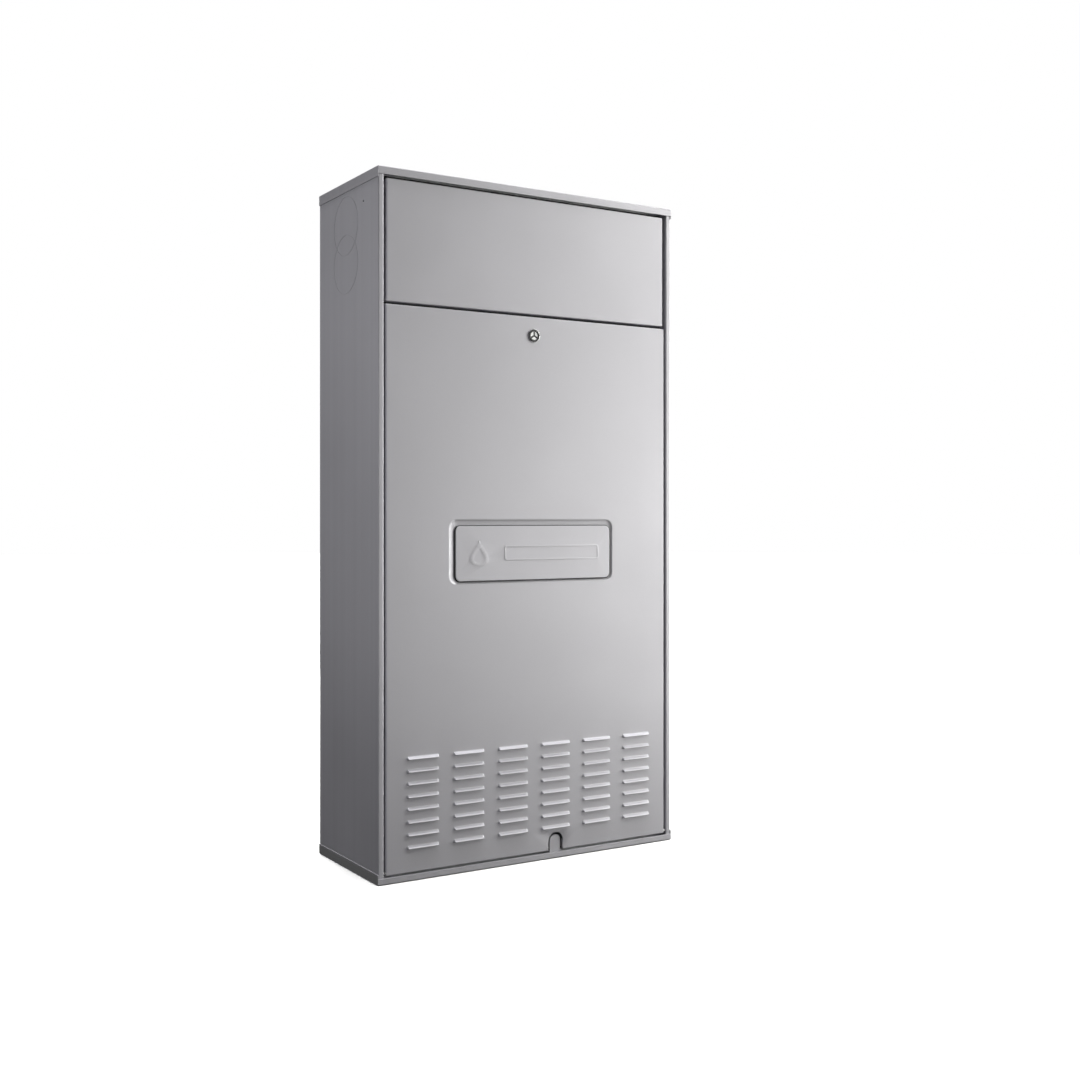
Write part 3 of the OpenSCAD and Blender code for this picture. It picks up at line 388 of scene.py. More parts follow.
def ceramic_fibre():
    s = Surface("ceramic_fibre")
    fibres = s.noise(240, 6, 0.7, (1, 1, 4))
    colour = s.ramp(fibres, (0.3, (0.62, 0.60, 0.54)), (0.7, (0.85, 0.83, 0.78)))
    return s.connect(colour, s.ramp(fibres, (0.3, 0.8), (0.7, 0.95)), [(fibres, 0.0002)])


def circuit_board():
    s = Surface("circuit_board", Coat_Weight=0.3, Coat_Roughness=0.2)
    tracks = s.cells(150, (1, 1, 0.4), "DISTANCE_TO_EDGE")
    colour = s.ramp(tracks, (0.02, (0.02, 0.13, 0.06)), (0.1, (0.035, 0.24, 0.1)))
    return s.connect(colour, s.ramp(s.noise(90), (0.3, 0.3), (0.7, 0.42)), [(tracks, 0.00005)])


def clear():
    """Clear plastic with faint smears."""
    s = Surface("clear", Transmission_Weight=1.0, IOR=1.46, Base_Color=(1, 1, 1, 1))
    return s.connect(None, s.ramp(s.noise(60, 4), (0.4, 0.02), (0.8, 0.07)))


def screen():
    """Dark glass with faint smears."""
    s = Surface("screen", Coat_Weight=0.5, Coat_Roughness=0.03)
    colour = s.ramp(s.noise(12, 2), (0.3, (0.008, 0.010, 0.014)), (0.7, (0.013, 0.015, 0.020)))
    return s.connect(colour, s.ramp(s.noise(50, 5, 0.6), (0.4, 0.06), (0.8, 0.16)))


def lit_figures():
    s = Surface("lit_figures", Emission_Strength=1.6)
    glow = s.ramp(s.noise(300, 2), (0.3, (0.95, 0.42, 0.06)), (0.7, (1.0, 0.52, 0.10)))
    s.tree.links.new(glow, s.shader.inputs["Emission Color"])
    return s.connect(glow, s.ramp(s.noise(90), (0.3, 0.4), (0.7, 0.5)))


def make_materials():
    makers = (pale_floor, bright_steel, clear, screen, lit_figures, cabinet_paint, galvanised, foam,
              plated_steel, stainless, cast_alloy, brass, copper, ceramic_fibre, circuit_board)
    made = {maker.__name__: maker() for maker in makers}
    for name, base, roughness in (
            ("dark_paint", (0.07, 0.07, 0.075), 0.4), ("red_paint", (0.48, 0.03, 0.025), 0.28)):
        made[name] = painted(name, base, roughness)
    for name, base, roughness, grain in (
            ("black_plastic", (0.028, 0.028, 0.031), 0.42, 0.00006),
            ("grey_plastic", (0.42, 0.43, 0.45), 0.4, 0.00003),
            ("red_plastic", (0.52, 0.025, 0.02), 0.3, 0.00003),
            ("blue_plastic", (0.02, 0.09, 0.42), 0.3, 0.00003),
            ("yellow_plastic", (0.78, 0.48, 0.02), 0.32, 0.00003),
            ("white_plastic", (0.74, 0.74, 0.70), 0.35, 0.00003)):
        made[name] = moulded(name, base, roughness, grain)
    return made


# ---- Mesh helpers ----

def object_from(bm, name, look):
    mesh = bpy.data.meshes.new(name)
    for face in bm.faces:
        face.smooth = True
    bm.to_mesh(mesh)
    bm.free()
    mesh.materials.append(materials[look])
    piece = bpy.data.objects.new(name, mesh)
    bpy.context.scene.collection.objects.link(piece)
    return piece


WELD_DISTANCE = 0.00001      # metres
FLAT_WITHIN = 0.05           # degrees


def shade_flats(piece):
    piece.modifiers.new("normals", "WEIGHTED_NORMAL").keep_sharp = True


def soften(piece, width, angle=30, weld=False, clamp=True):
    """Rounds the edges sharper than angle by width, and shades what stays flat as flat. A mesh to weld is
    made of triangles, which are joined where they lie in one plane."""
    if weld:
        piece.modifiers.new("weld", "WELD").merge_threshold = WELD_DISTANCE
        flats = piece.modifiers.new("flats", "DECIMATE")
        flats.decimate_type = "DISSOLVE"
        flats.angle_limit = math.radians(FLAT_WITHIN)
    if width:
        bevel = piece.modifiers.new("bevel", "BEVEL")
        bevel.width = width
        bevel.segments = 2
        bevel.limit_method = "ANGLE"
        bevel.angle_limit = math.radians(angle)
        bevel.use_clamp_overlap = clamp
    shade_flats(piece)


BEVEL_WIDTH = {              # millimetres, by material slot
    "cabinet_paint": 0.3, "galvanised": 0.3, "foam": 1.2, "plated_steel": 0.4, "stainless": 0.6,
    "cast_alloy": 1.5, "brass": 0.8, "copper": 0.4, "red_paint": 1.5, "black_plastic": 1.2,
    "grey_plastic": 1.0, "red_plastic": 0.8, "blue_plastic": 0.9, "yellow_plastic": 0.9,
    "white_plastic": 0.8, "ceramic_fibre": 0.4, "circuit_board": 0.2, "dark_paint": 0.4,
}


def dress_nodes():
    """Every CAD node gets its slot's material and softened edges."""
    for name, piece in nodes.items():
        slot = node_slot[name]
        piece.data.materials.clear()
        piece.data.materials.append(materials[slot])
        soften(piece, BEVEL_WIDTH[slot] * MM, weld=True)


# ---- Folded sheet ----
# Outlines are in millimetres, in the plane of the sheet: x, then height.

SHEET = 1.2
FOLD_R = 2.0
BORDER_STEPS = 5             # steps in each rounded corner and fold
SAME_PLACE = 0.001           # points nearer than this are one point


def on_edge(x, z, out):
    """A point on a straight stretch of an outline: its place, the way out, and the way out at a mitre."""
    return Vector((x, z)), Vector(out), Vector(out)


def on_corner(x, z, side, rise):
    """The points of an outline that turn about the corner (x, z), counter-clockwise."""
    start = {(1, -1): -90, (1, 1): 0, (-1, 1): 90, (-1, -1): 180}[side, rise]
    angles = [math.radians(start + 90 * i / BORDER_STEPS) for i in range(BORDER_STEPS + 1)]
    return [(Vector((x, z)), Vector((math.cos(a), math.sin(a))), Vector((side, rise))) for a in angles]


def rounded_border(x, z, half_width, half_height):
    """The four corners of a rectangle round (x, z), which an offset then rounds."""
    border = []
    for side, rise in ((1, -1), (1, 1), (-1, 1), (-1, -1)):
        border += on_corner(x + side * half_width, z + rise * half_height, side, rise)
    return border


def offset_points(border, offset):
    return [base + (out if offset >= 0 else mitre) * offset for base, out, mitre in border]


def upright(face_y):
    """Places a point of an outline, at a depth behind the face, in the frame."""
    def place(x, z, depth):
        return Vector((x * MM, face_y + depth * MM, z * MM))
    return place


def add_ring(bm, place, border, offset, depth):
    return [bm.verts.new(place(x, z, depth)) for x, z in offset_points(border, offset)]


def join_rings(bm, first, second, closed=False):
    count = len(first)
    for i in range(count if closed else count - 1):
        j = (i + 1) % count
        bm.faces.new((first[i], first[j], second[j], second[i]))


def join_all(bm, rings, closed=False):
    for first, second in zip(rings, rings[1:]):
        join_rings(bm, first, second, closed)


def quarter(radius):
    """(sine, one less cosine) of a quarter turn in steps, times radius."""
    angles = [math.radians(90 * i / BORDER_STEPS) for i in range(BORDER_STEPS + 1)]
    return [(radius * math.sin(a), radius * (1 - math.cos(a))) for a in angles]


def encloses(loop, point):
    inside = False
    for (x0, z0), (x1, z1) in zip(loop, loop[1:] + loop[:1]):
        if (z0 > point.y) != (z1 > point.y) and point.x < x0 + (point.y - z0) * (x1 - x0) / (z1 - z0):
            inside = not inside
    return inside


def flat_skin(bm, place, outline, holes, depth=0):
    """A flat sheet inside the outline, less the holes. Each is a list of points."""
    points, edges = [], []
    for loop in (outline, *holes):
        start = len(points)
        points += [Vector(p) for p in loop]
        edges += [(start + i, start + (i + 1) % len(loop)) for i in range(len(loop))]
    flat, _, faces, *_ = delaunay_2d_cdt(points, edges, [], 0, 0.0001)
    corners = [bm.verts.new(place(p.x, p.y, depth)) for p in flat]
    for face in faces:
        centre = sum((flat[i] for i in face), Vector((0, 0))) / len(face)
        if encloses(outline, centre) and not any(encloses(hole, centre) for hole in holes):
            bm.faces.new([corners[i] for i in face])


def without_repeats(points):
    kept = []
    for p in points:
        if not kept or (Vector(p) - Vector(kept[-1])).length > SAME_PLACE:
            kept.append(tuple(p))
    return kept


def close_up(bm):
    """Joins what meets, and turns every face outwards. The largest face looks to the front."""
    bmesh.ops.remove_doubles(bm, verts=bm.verts, dist=0.000002)
    loose = [v for v in bm.verts if not v.link_faces]
    bmesh.ops.delete(bm, geom=loose, context="VERTS")
    bmesh.ops.recalc_face_normals(bm, faces=bm.faces)
    largest = max(bm.faces, key=lambda face: face.calc_area())
    if largest.normal.y > 0:
        bmesh.ops.reverse_faces(bm, faces=bm.faces)


def painted_piece(bm, name, body, node):
    """A piece in the cabinet's paint that rides on a body and stands for a CAD node."""
    piece = object_from(bm, name, "cabinet_paint")
    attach(piece, body)
    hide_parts(node)
    return piece


def thicken(piece, edge):
    """Gives a folded skin the sheet's thickness, inwards, and rounds its cut edges."""
    solid = piece.modifiers.new("solid", "SOLIDIFY")
    solid.thickness = SHEET * MM
    solid.offset = -1
    solid.use_even_offset = True
    solid.use_quality_normals = True
    soften(piece, edge * MM, 40, clamp=False)


# ---- Lower door ----

DOOR_DEPTH = 15.0
DOOR_LIP = 10.0
DOOR_LIP_FOOT = 33.5         # height at which the side lips start
LIP_FOLD_R = 1.6
LOUVRE_COLUMNS = 6
LOUVRE_ROWS = 8
LOUVRE_PITCH_X = 87.3
LOUVRE_PITCH_Z = 21.1
LOUVRE_X = 1.5               # middle of the louvred field
LOUVRE_FOOT_Z = 53.0
LOUVRE_W = 59.0
LOUVRE_H = 5.5
LOUVRE_END = 2.2             # run of a louvre's sloping ends
LOUVRE_NOSE = 1.2            # height up to which a louvre stands out most
LOUVRE_TUCK = 0.08           # how much less it stands out at its foot, as a share
LOUVRE_ROUNDING = 0.15       # share of the slope that is rounded at each end
LOUVRE_END_ROUNDING = 0.25
LOUVRE_CLEARANCE = 0.05      # between the louvres and the front of the CAD door's box
LOUVRE_ACROSS = (0, 0.22, 0.5, 0.78, 1.0)       # where the mesh has its points, as shares of an end
LOUVRE_UP = (0, 0.11, 0.22, 0.335, 0.5, 0.62, 0.75, 0.885, 1.0)     # and of the height
NOTCH_X = 45.6
NOTCH_W = 30.6
NOTCH_SPRING_Z = 30.3
NOTCH_LIP = 5.5
NOTCH_CUT = 6.9              # depth to which the notch cuts the folded foot
BADGE_Z = 544.6
POCKET_W = 334.0
POCKET_H = 110.0
POCKET_R = 14.0
POCKET_DEPTH = 2.2
POCKET_STEPS = 10            # rows of faces down the pocket's sloping sides
POCKET_CURVE = 0.6           # less than 1: the sides drop at once from the rim, and then gently
LOCK_HOLE_R = 9.2
LOCK_HOLE_STEPS = 40
NOTCH_STEPS = 20
SHARP_FROM = 50              # degrees: folds sharper than this are shaded as sharp
FLAT_MARGIN = 2.0            # round each pressing, so that the flat sheet's shading stays flat

door_low, door_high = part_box("louvred_door")
door_face = door_high.y - DOOR_DEPTH * MM
louvre_proud = (door_face - door_low.y) / MM - LOUVRE_CLEARANCE
lock_low, lock_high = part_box("lock_housing")
lock_z = (lock_low.z + lock_high.z) / 2 / MM


def slope(t, rounding):
    """From 0 to 1 along a straight slope with rounded ends."""
    t = min(max(t, 0), 1)
    if t < rounding:
        return t * t / (2 * rounding) / (1 - rounding)
    if t > 1 - rounding:
        return 1 - (1 - t) ** 2 / (2 * rounding) / (1 - rounding)
    return (t - rounding / 2) / (1 - rounding)


def louvre_height(from_end, up):
    """How far a louvre stands out, at a distance from its nearer end and a height above its foot."""
    if up < LOUVRE_NOSE:
        profile = 1 - LOUVRE_TUCK * (1 - up / LOUVRE_NOSE) ** 2
    else:
        profile = 1 - slope((up - LOUVRE_NOSE) / (LOUVRE_H - LOUVRE_NOSE), LOUVRE_ROUNDING)
    return louvre_proud * profile * slope(from_end / LOUVRE_END, LOUVRE_END_ROUNDING)


def louvre_stations():
    ends = [LOUVRE_END * t for t in LOUVRE_ACROSS]
    across = ends + [LOUVRE_W / 2] + [LOUVRE_W - e for e in reversed(ends)]
    ups = [LOUVRE_H * t for t in LOUVRE_UP]
    return across, ups


def flat_margin(value, centre, size):
    """How far a point on the edge of a rectangle moves out, along one direction, to its flat margin."""
    if abs(abs(value - centre) - size / 2) > SAME_PLACE:
        return 0
    return math.copysign(FLAT_MARGIN, value - centre)


def add_louvre(bm, place, x, z):
    """One pressed louvre, open below, with a flat margin round it. Returns the outline of the hole that it
    fills in the flat sheet."""
    across, ups = louvre_stations()
    x0 = x - LOUVRE_W / 2
    rows = [[bm.verts.new(place(x0 + a, z + up, -louvre_height(min(a, LOUVRE_W - a), up))) for a in across]
            for up in ups]
    join_all(bm, rows)
    right = [(x0 + LOUVRE_W, z + up) for up in ups]
    top = [(x0 + a, z + LOUVRE_H) for a in reversed(across)]
    left = [(x0, z + up) for up in reversed(ups)]
    outline = without_repeats(right + top + left)
    outer = [(px + flat_margin(px, x, LOUVRE_W), pz + flat_margin(pz, z + LOUVRE_H / 2, LOUVRE_H))
             for px, pz in outline]
    inner_ring, outer_ring = ([bm.verts.new(place(*p, 0)) for p in loop] for loop in (outline, outer))
    join_rings(bm, inner_ring, outer_ring, closed=True)
    return outer


def add_pocket(bm, place):
    """The pressed pocket, whose sides slope down to the foot of the badge plate, with a flat margin round
    it. Returns its outline in the flat sheet."""
    border = rounded_border(0, BADGE_Z, POCKET_W / 2 - POCKET_R, POCKET_H / 2 - POCKET_R)
    rim = offset_points(border, POCKET_R)
    foot = offset_points(plate_border(), PLATE_R + SHADOW_STRIP_W + SHADOW_STRIP_GAP)
    rings = [add_ring(bm, place, border, POCKET_R + FLAT_MARGIN, 0)]
    for step in range(POCKET_STEPS + 1):
        t = step / POCKET_STEPS
        depth = POCKET_DEPTH * t ** POCKET_CURVE
        rings.append([bm.verts.new(place(*a.lerp(b, t), depth)) for a, b in zip(rim, foot)])
    join_all(bm, rings, closed=True)
    bm.faces.new(rings[-1])
    return without_repeats(offset_points(border, POCKET_R + FLAT_MARGIN))


def add_notch_lips(bm, place, foot_z):
    for side in (-1, 1):
        x = NOTCH_X + side * NOTCH_W / 2
        quad = [(foot_z, 0), (NOTCH_SPRING_Z, 0), (NOTCH_SPRING_Z, NOTCH_LIP), (foot_z, NOTCH_LIP)]
        bm.faces.new([bm.verts.new(place(x, z, depth)) for z, depth in quad])


def make_door():
    """The louvred door: one pressed sheet, folded back on all sides, with lips behind its sides and top."""
    bm = bmesh.new()
    place = upright(door_face)
    x = door_high.x / MM - FOLD_R
    z0 = door_low.z / MM + FOLD_R
    z1 = door_high.z / MM - FOLD_R
    notch = [NOTCH_X + side * NOTCH_W / 2 for side in (1, -1)]
    foot_right = [on_edge(notch[0], z0, (0, -1)), *on_corner(x, z0, 1, -1)]
    upper = [on_edge(x, DOOR_LIP_FOOT, (1, 0)), *on_corner(x, z1, 1, 1), *on_corner(-x, z1, -1, 1),
             on_edge(-x, DOOR_LIP_FOOT, (-1, 0))]
    foot_left = [*on_corner(-x, z0, -1, -1), on_edge(notch[1], z0, (0, -1))]
    border = foot_right + upper + foot_left
    lip_start = len(foot_right)
    lip_stop = lip_start + len(upper)

    # Folds: round the edge and back, then in behind the sides and the top
    fold = [add_ring(bm, place, border, out, depth) for out, depth in quarter(FOLD_R)]
    cut = add_ring(bm, place, border, FOLD_R, NOTCH_CUT)
    back = add_ring(bm, place, border, FOLD_R, DOOR_DEPTH - LIP_FOLD_R)
    join_all(bm, [*fold, cut, back])
    lip = [back[lip_start:lip_stop]]
    for up, inward in quarter(LIP_FOLD_R)[1:]:
        lip.append(add_ring(bm, place, upper, FOLD_R - inward, DOOR_DEPTH - LIP_FOLD_R + up))
    lip.append(add_ring(bm, place, upper, FOLD_R - DOOR_LIP, DOOR_DEPTH))
    join_all(bm, lip)
    right_end = add_ring(bm, place, foot_right + upper[:1], FOLD_R, DOOR_DEPTH)
    left_end = add_ring(bm, place, upper[-1:] + foot_left, FOLD_R, DOOR_DEPTH)
    join_rings(bm, back[:lip_start + 1], right_end)
    join_rings(bm, back[lip_stop - 1:], left_end)
    # Behind the notch the folded foot runs on
    join_all(bm, [[cut[-1], cut[0]], [back[-1], back[0]], [left_end[-1], right_end[0]]])

    # The face, with its pressings and holes
    add_notch_lips(bm, place, z0)
    holes = [add_pocket(bm, place)]
    for column in range(LOUVRE_COLUMNS):
        for row in range(LOUVRE_ROWS):
            louvre_x = LOUVRE_X + LOUVRE_PITCH_X * (column - (LOUVRE_COLUMNS - 1) / 2)
            holes.append(add_louvre(bm, place, louvre_x, LOUVRE_FOOT_Z + row * LOUVRE_PITCH_Z))
    turn = [math.tau * i / LOCK_HOLE_STEPS for i in range(LOCK_HOLE_STEPS)]
    holes.append([(LOCK_HOLE_R * math.cos(a), lock_z + LOCK_HOLE_R * math.sin(a)) for a in turn])
    arch = [math.radians(180 - 180 * i / NOTCH_STEPS) for i in range(NOTCH_STEPS + 1)]
    notch_arch = [(NOTCH_X + NOTCH_W / 2 * math.cos(a), NOTCH_SPRING_Z + NOTCH_W / 2 * math.sin(a))
                  for a in arch]
    outline = without_repeats(offset_points(border, 0)) + notch_arch
    flat_skin(bm, place, outline, holes)
    close_up(bm)
    for edge in bm.edges:
        edge.smooth = edge.calc_face_angle(0) < math.radians(SHARP_FROM)
    thicken(painted_piece(bm, "door_sheet", "door", "louvred_door"), edge=0)


# ---- Badge plate ----

PLATE_R = 9.0
PLATE_EDGE_R = 0.8
RELIEF = 0.5                 # height of the raised shapes on the plate
RELIEF_RUN = 0.5             # run of their sloping sides
DROP_H = 44.0
DROP_W = 42.0
DROP_X = -110.0
BAR_X = 38.0
BAR_W = 196.0
BAR_H = 26.0
BAR_R = 4.0
BAR_GROOVE = 1.2             # how far the sunk middle of the bar starts outside its straight core
DROP_STEPS = 48
HOLLOW = 0.55                # size of the drop's hollow, as a share of the drop's own
HOLLOW_DOWN = 4.0            # how far below the drop's middle the hollow's middle is
# A dark strip round the badge plate paints the shadow line at its edge
SHADOW_STRIP_W = 1.3
SHADOW_STRIP_SET_BACK = 0.6        # how far the strip lies behind the plate's face
SHADOW_STRIP_LAP = 0.05            # between the plate's edge and the strip
SHADOW_STRIP_GAP = 0.3             # between the strip and the pocket's sloping side


def drop_border(x, z, width, height):
    """The outline of a drop with its point up, as places and ways out, counter-clockwise."""
    points = []
    for step in range(DROP_STEPS):
        t = math.tau * step / DROP_STEPS
        aside = width / 2 * 1.3 * math.sin(t) * math.sin(t / 2) ** 1.6
        points.append(Vector((x - aside, z + height / 2 * math.cos(t))))
    border = []
    for i, point in enumerate(points):
        along = points[(i + 1) % DROP_STEPS] - points[i - 1]
        out = Vector((along.y, -along.x)).normalized()
        border.append((point, out, out))
    return border


def plate_border():
    low, high = (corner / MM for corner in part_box("badge_plate"))
    return rounded_border((low.x + high.x) / 2, (low.z + high.z) / 2,
                          (high.x - low.x) / 2 - PLATE_R, (high.z - low.z) / 2 - PLATE_R)


def add_relief(bm, place, border, offset, hole):
    """A raised shape with sloping sides. The hole is a second border, sunk back to the face inside it.
    Returns its outline in the face."""
    foot = add_ring(bm, place, border, offset + RELIEF_RUN, 0)
    top = add_ring(bm, place, border, offset, -RELIEF)
    join_rings(bm, foot, top, closed=True)
    edge = add_ring(bm, place, hole, 0, -RELIEF)
    floor = add_ring(bm, place, hole, -RELIEF_RUN, 0)
    join_rings(bm, edge, floor, closed=True)
    bm.faces.new(floor)
    inner = without_repeats(offset_points(hole, 0))
    flat_skin(bm, place, without_repeats(offset_points(border, offset)), [inner], -RELIEF)
    return without_repeats(offset_points(border, offset + RELIEF_RUN))


def make_badge_plate():
    """A plain plate with a drop and a blank name bar in low relief."""
    bm = bmesh.new()
    low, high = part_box("badge_plate")
    place = upright(low.y)
    depth = (high.y - low.y) / MM
    plate_z = (low.z + high.z) / 2 / MM
    border = plate_border()
    rings = [add_ring(bm, place, border, PLATE_R, depth)]
    for out, back in quarter(PLATE_EDGE_R):
        rings.append(add_ring(bm, place, border, PLATE_R - back, PLATE_EDGE_R - out))
    join_all(bm, rings, closed=True)
    bm.faces.new(rings[0])
    name_bar = rounded_border(BAR_X, plate_z, BAR_W / 2 - BAR_R, BAR_H / 2 - BAR_R)
    bar_hole = [(base + BAR_GROOVE * out, out, out) for base, out, mitre in name_bar]
    drop = drop_border(DROP_X, plate_z, DROP_W, DROP_H)
    drop_hole = drop_border(DROP_X, plate_z - HOLLOW_DOWN, DROP_W * HOLLOW, DROP_H * HOLLOW)
    holes = [add_relief(bm, place, name_bar, BAR_R, bar_hole), add_relief(bm, place, drop, 0, drop_hole)]
    flat_skin(bm, place, without_repeats(offset_points(border, PLATE_R - PLATE_EDGE_R)), holes)
    close_up(bm)
    shade_flats(painted_piece(bm, "badge_face", "door", "badge_plate"))

    # Painted shadow: a thin dark strip of foam round the plate stands for the shadow line at its edge
    bm = bmesh.new()
    inner, outer = PLATE_R + SHADOW_STRIP_LAP, PLATE_R + SHADOW_STRIP_W
    profile = [(inner, SHADOW_STRIP_SET_BACK), (outer, SHADOW_STRIP_SET_BACK), (outer, depth), (inner, depth)]
    rings = [add_ring(bm, place, border, offset, back) for offset, back in profile]
    join_all(bm, rings + rings[:1], closed=True)
    finish_part(bm, "badge_shadow_strip", "foam", body="door")


# ---- Upper panel ----

def make_upper_panel():
    """A plain panel with a folded-back edge."""
    bm = bmesh.new()
    low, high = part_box("upper_panel")
    place = upright(low.y)
    depth = (high.y - low.y) / MM
    centre_z = (low.z + high.z) / 2 / MM
    border = rounded_border(0, centre_z, high.x / MM - FOLD_R, (high.z - low.z) / 2 / MM - FOLD_R)
    rings = [add_ring(bm, place, border, out, back) for out, back in quarter(FOLD_R)]
    rings.append(add_ring(bm, place, border, FOLD_R, depth))
    join_all(bm, rings, closed=True)
    flat_skin(bm, place, without_repeats(offset_points(border, 0)), [])
    close_up(bm)
    thicken(painted_piece(bm, "panel_sheet", "panel", "upper_panel"), edge=0.2)


# ---- Small parts ----
# Places and sizes are in millimetres.

DIAL_SWEEP = 270
DIGIT_BARS = {               # which bars make each figure, by the letters in digit()
    0: "abcdef", 1: "bc", 2: "abged", 3: "abgcd", 4: "fgbc", 8: "abcdefg",
}
AXES = {"X": (1, 2, 0), "Y": (0, 2, 1), "Z": (0, 1, 2)}    # the two directions across, and the one along


def turned(bm, centre, profile, axis="Y", segments=32, ring=False, ripple=None):
    """A turned part: profile is (radius, distance along the axis) pairs. A ring's profile closes on itself.
    ripple is the number and the depth of its flutes, for the profile points where it is given a share."""
    across, up, along = AXES[axis]
    rings = []
    for radius, step, *share in profile:
        points = []
        for i in range(1 if radius == 0 else segments):
            turn = math.tau * (i + 0.5) / segments
            depth = share[0] * ripple[1] * (1 + math.cos(ripple[0] * turn)) / 2 if share else 0
            point = list(centre)
            point[across] += (radius - depth) * math.cos(turn)
            point[up] += (radius - depth) * math.sin(turn)
            point[along] += step
            points.append(bm.verts.new(Vector(point) * MM))
        rings.append(points)
    for first, second in zip(rings, rings[1:] + (rings[:1] if ring else [])):
        for i in range(segments):
            j = (i + 1) % segments
            if len(first) == 1 and len(second) > 1:
                bm.faces.new((first[0], second[i], second[j]))
            elif len(second) == 1 and len(first) > 1:
                bm.faces.new((first[i], first[j], second[0]))
            elif len(first) > 1:
                bm.faces.new((first[i], first[j], second[j], second[i]))


def bar(bm, start, stop, width, y0, y1):
    """A straight bar between two points (x, z), from depth y0 to y1."""
    start, stop = Vector(start), Vector(stop)
    along = (stop - start).normalized()
    aside = Vector((-along.y, along.x)) * width / 2
    corners = [start - aside, stop - aside, stop + aside, start + aside]
    front, back = ([bm.verts.new(Vector((p.x, y, p.y)) * MM) for p in corners] for y in (y0, y1))
    bm.faces.new(front)
    bm.faces.new(reversed(back))
    join_rings(bm, back, front, closed=True)


def digit(bm, value, x, z, height, y0, y1):
    """A figure made of straight bars, its middle at (x, z)."""
    half_w, half_h, width = height * 0.26, height / 2, height * 0.13
    low, mid, high = z - half_h, z, z + half_h
    left, right = x - half_w, x + half_w
    places = {
        "a": ((left, high), (right, high)), "b": ((right, mid), (right, high)),
        "c": ((right, low), (right, mid)), "d": ((left, low), (right, low)),
        "e": ((left, low), (left, mid)), "f": ((left, mid), (left, high)),
        "g": ((left, mid), (right, mid)),
    }
    for letter in DIGIT_BARS[value]:
        bar(bm, *places[letter], width, y0, y1)


def round_about(x, z, radius, degrees):
    """The point at an angle clockwise from straight up."""
    turn = math.radians(degrees)
    return x + radius * math.sin(turn), z + radius * math.cos(turn)


def ticks(bm, x, z, inner, outer, count, width, y0, y1):
    for i in range(count):
        angle = DIAL_SWEEP * (i / (count - 1) - 0.5)
        bar(bm, round_about(x, z, inner, angle), round_about(x, z, outer, angle), width, y0, y1)


def rounded_slab(bm, x, z, width, height, corner, y0, y1, edge):
    """A flat slab with rounded corners and a rounded front edge."""
    place = upright(y0 * MM)
    border = rounded_border(x, z, width / 2 - corner, height / 2 - corner)
    rings = [add_ring(bm, place, border, corner, y1 - y0)]
    for out, back in quarter(edge):
        rings.append(add_ring(bm, place, border, corner - back, edge - out))
    join_all(bm, rings, closed=True)
    bm.faces.new(rings[0])
    bm.faces.new(rings[-1])


def screw(bm, place, radius, height):
    """A cap screw with a round socket, its foot at a place and its head to the front."""
    turned(bm, place, [
        (0, 0), (radius, 0), (radius, -0.75 * height), (0.86 * radius, -height), (0.52 * radius, -height),
        (0.48 * radius, -0.35 * height), (0, -0.35 * height)], segments=20)


def nut(bm, centre, radius, height, axis="Z"):
    turned(bm, centre, [(0, 0), (0.9 * radius, 0), (radius, 0.12 * height), (radius, 0.88 * height),
                        (0.9 * radius, height), (0, height)], axis, 6)


def finish_part(bm, name, slot, edge=0, body="cabinet", look=None):
    """Turns a mesh into a piece that rides on a body, its edges rounded by edge. look is the material, where
    it isn't the slot's own."""
    bmesh.ops.recalc_face_normals(bm, faces=bm.faces)
    piece = object_from(bm, name, look or slot)
    if edge:
        soften(piece, edge * MM)
    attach(piece, body)
    return piece


def middle(node):
    low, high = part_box(node)
    return (low + high) / 2 / MM


KEY_ARM = 7.0
KEY_ARM_W = 3.0
KEY_SLOT = (-1.72, -1.2)     # depths of the slot's front and back, from the door's face


def make_lock_details():
    """A dark ring round the lock's core that paints the shadow in the gap round it, and dark bars that paint
    the shade inside the three-armed slot in its core.
    """
    face = door_face / MM
    # Painted shadow: a dark ring round the core
    bm = bmesh.new()
    turned(bm, (0, face, lock_z), [
        (7.3, -1.9), (7.3, -2.2), (7.5, -2.45), (10.6, -2.45), (10.9, -2.2), (10.9, -1.9)],
        segments=48, ring=True)
    finish_part(bm, "lock_shadow_ring", "black_plastic", body="door")
    # Painted shade: dark bars in place of the key slot's recess
    bm = bmesh.new()
    for angle in (0, 120, 240):
        tip = round_about(0, lock_z, KEY_ARM, angle)
        bar(bm, (0, lock_z), tip, KEY_ARM_W, face + KEY_SLOT[0], face + KEY_SLOT[1])
    finish_part(bm, "key_slot_shade", "black_plastic", 0.1, "lock")
    nodes["lock_core"].data.materials[0] = materials["bright_steel"]


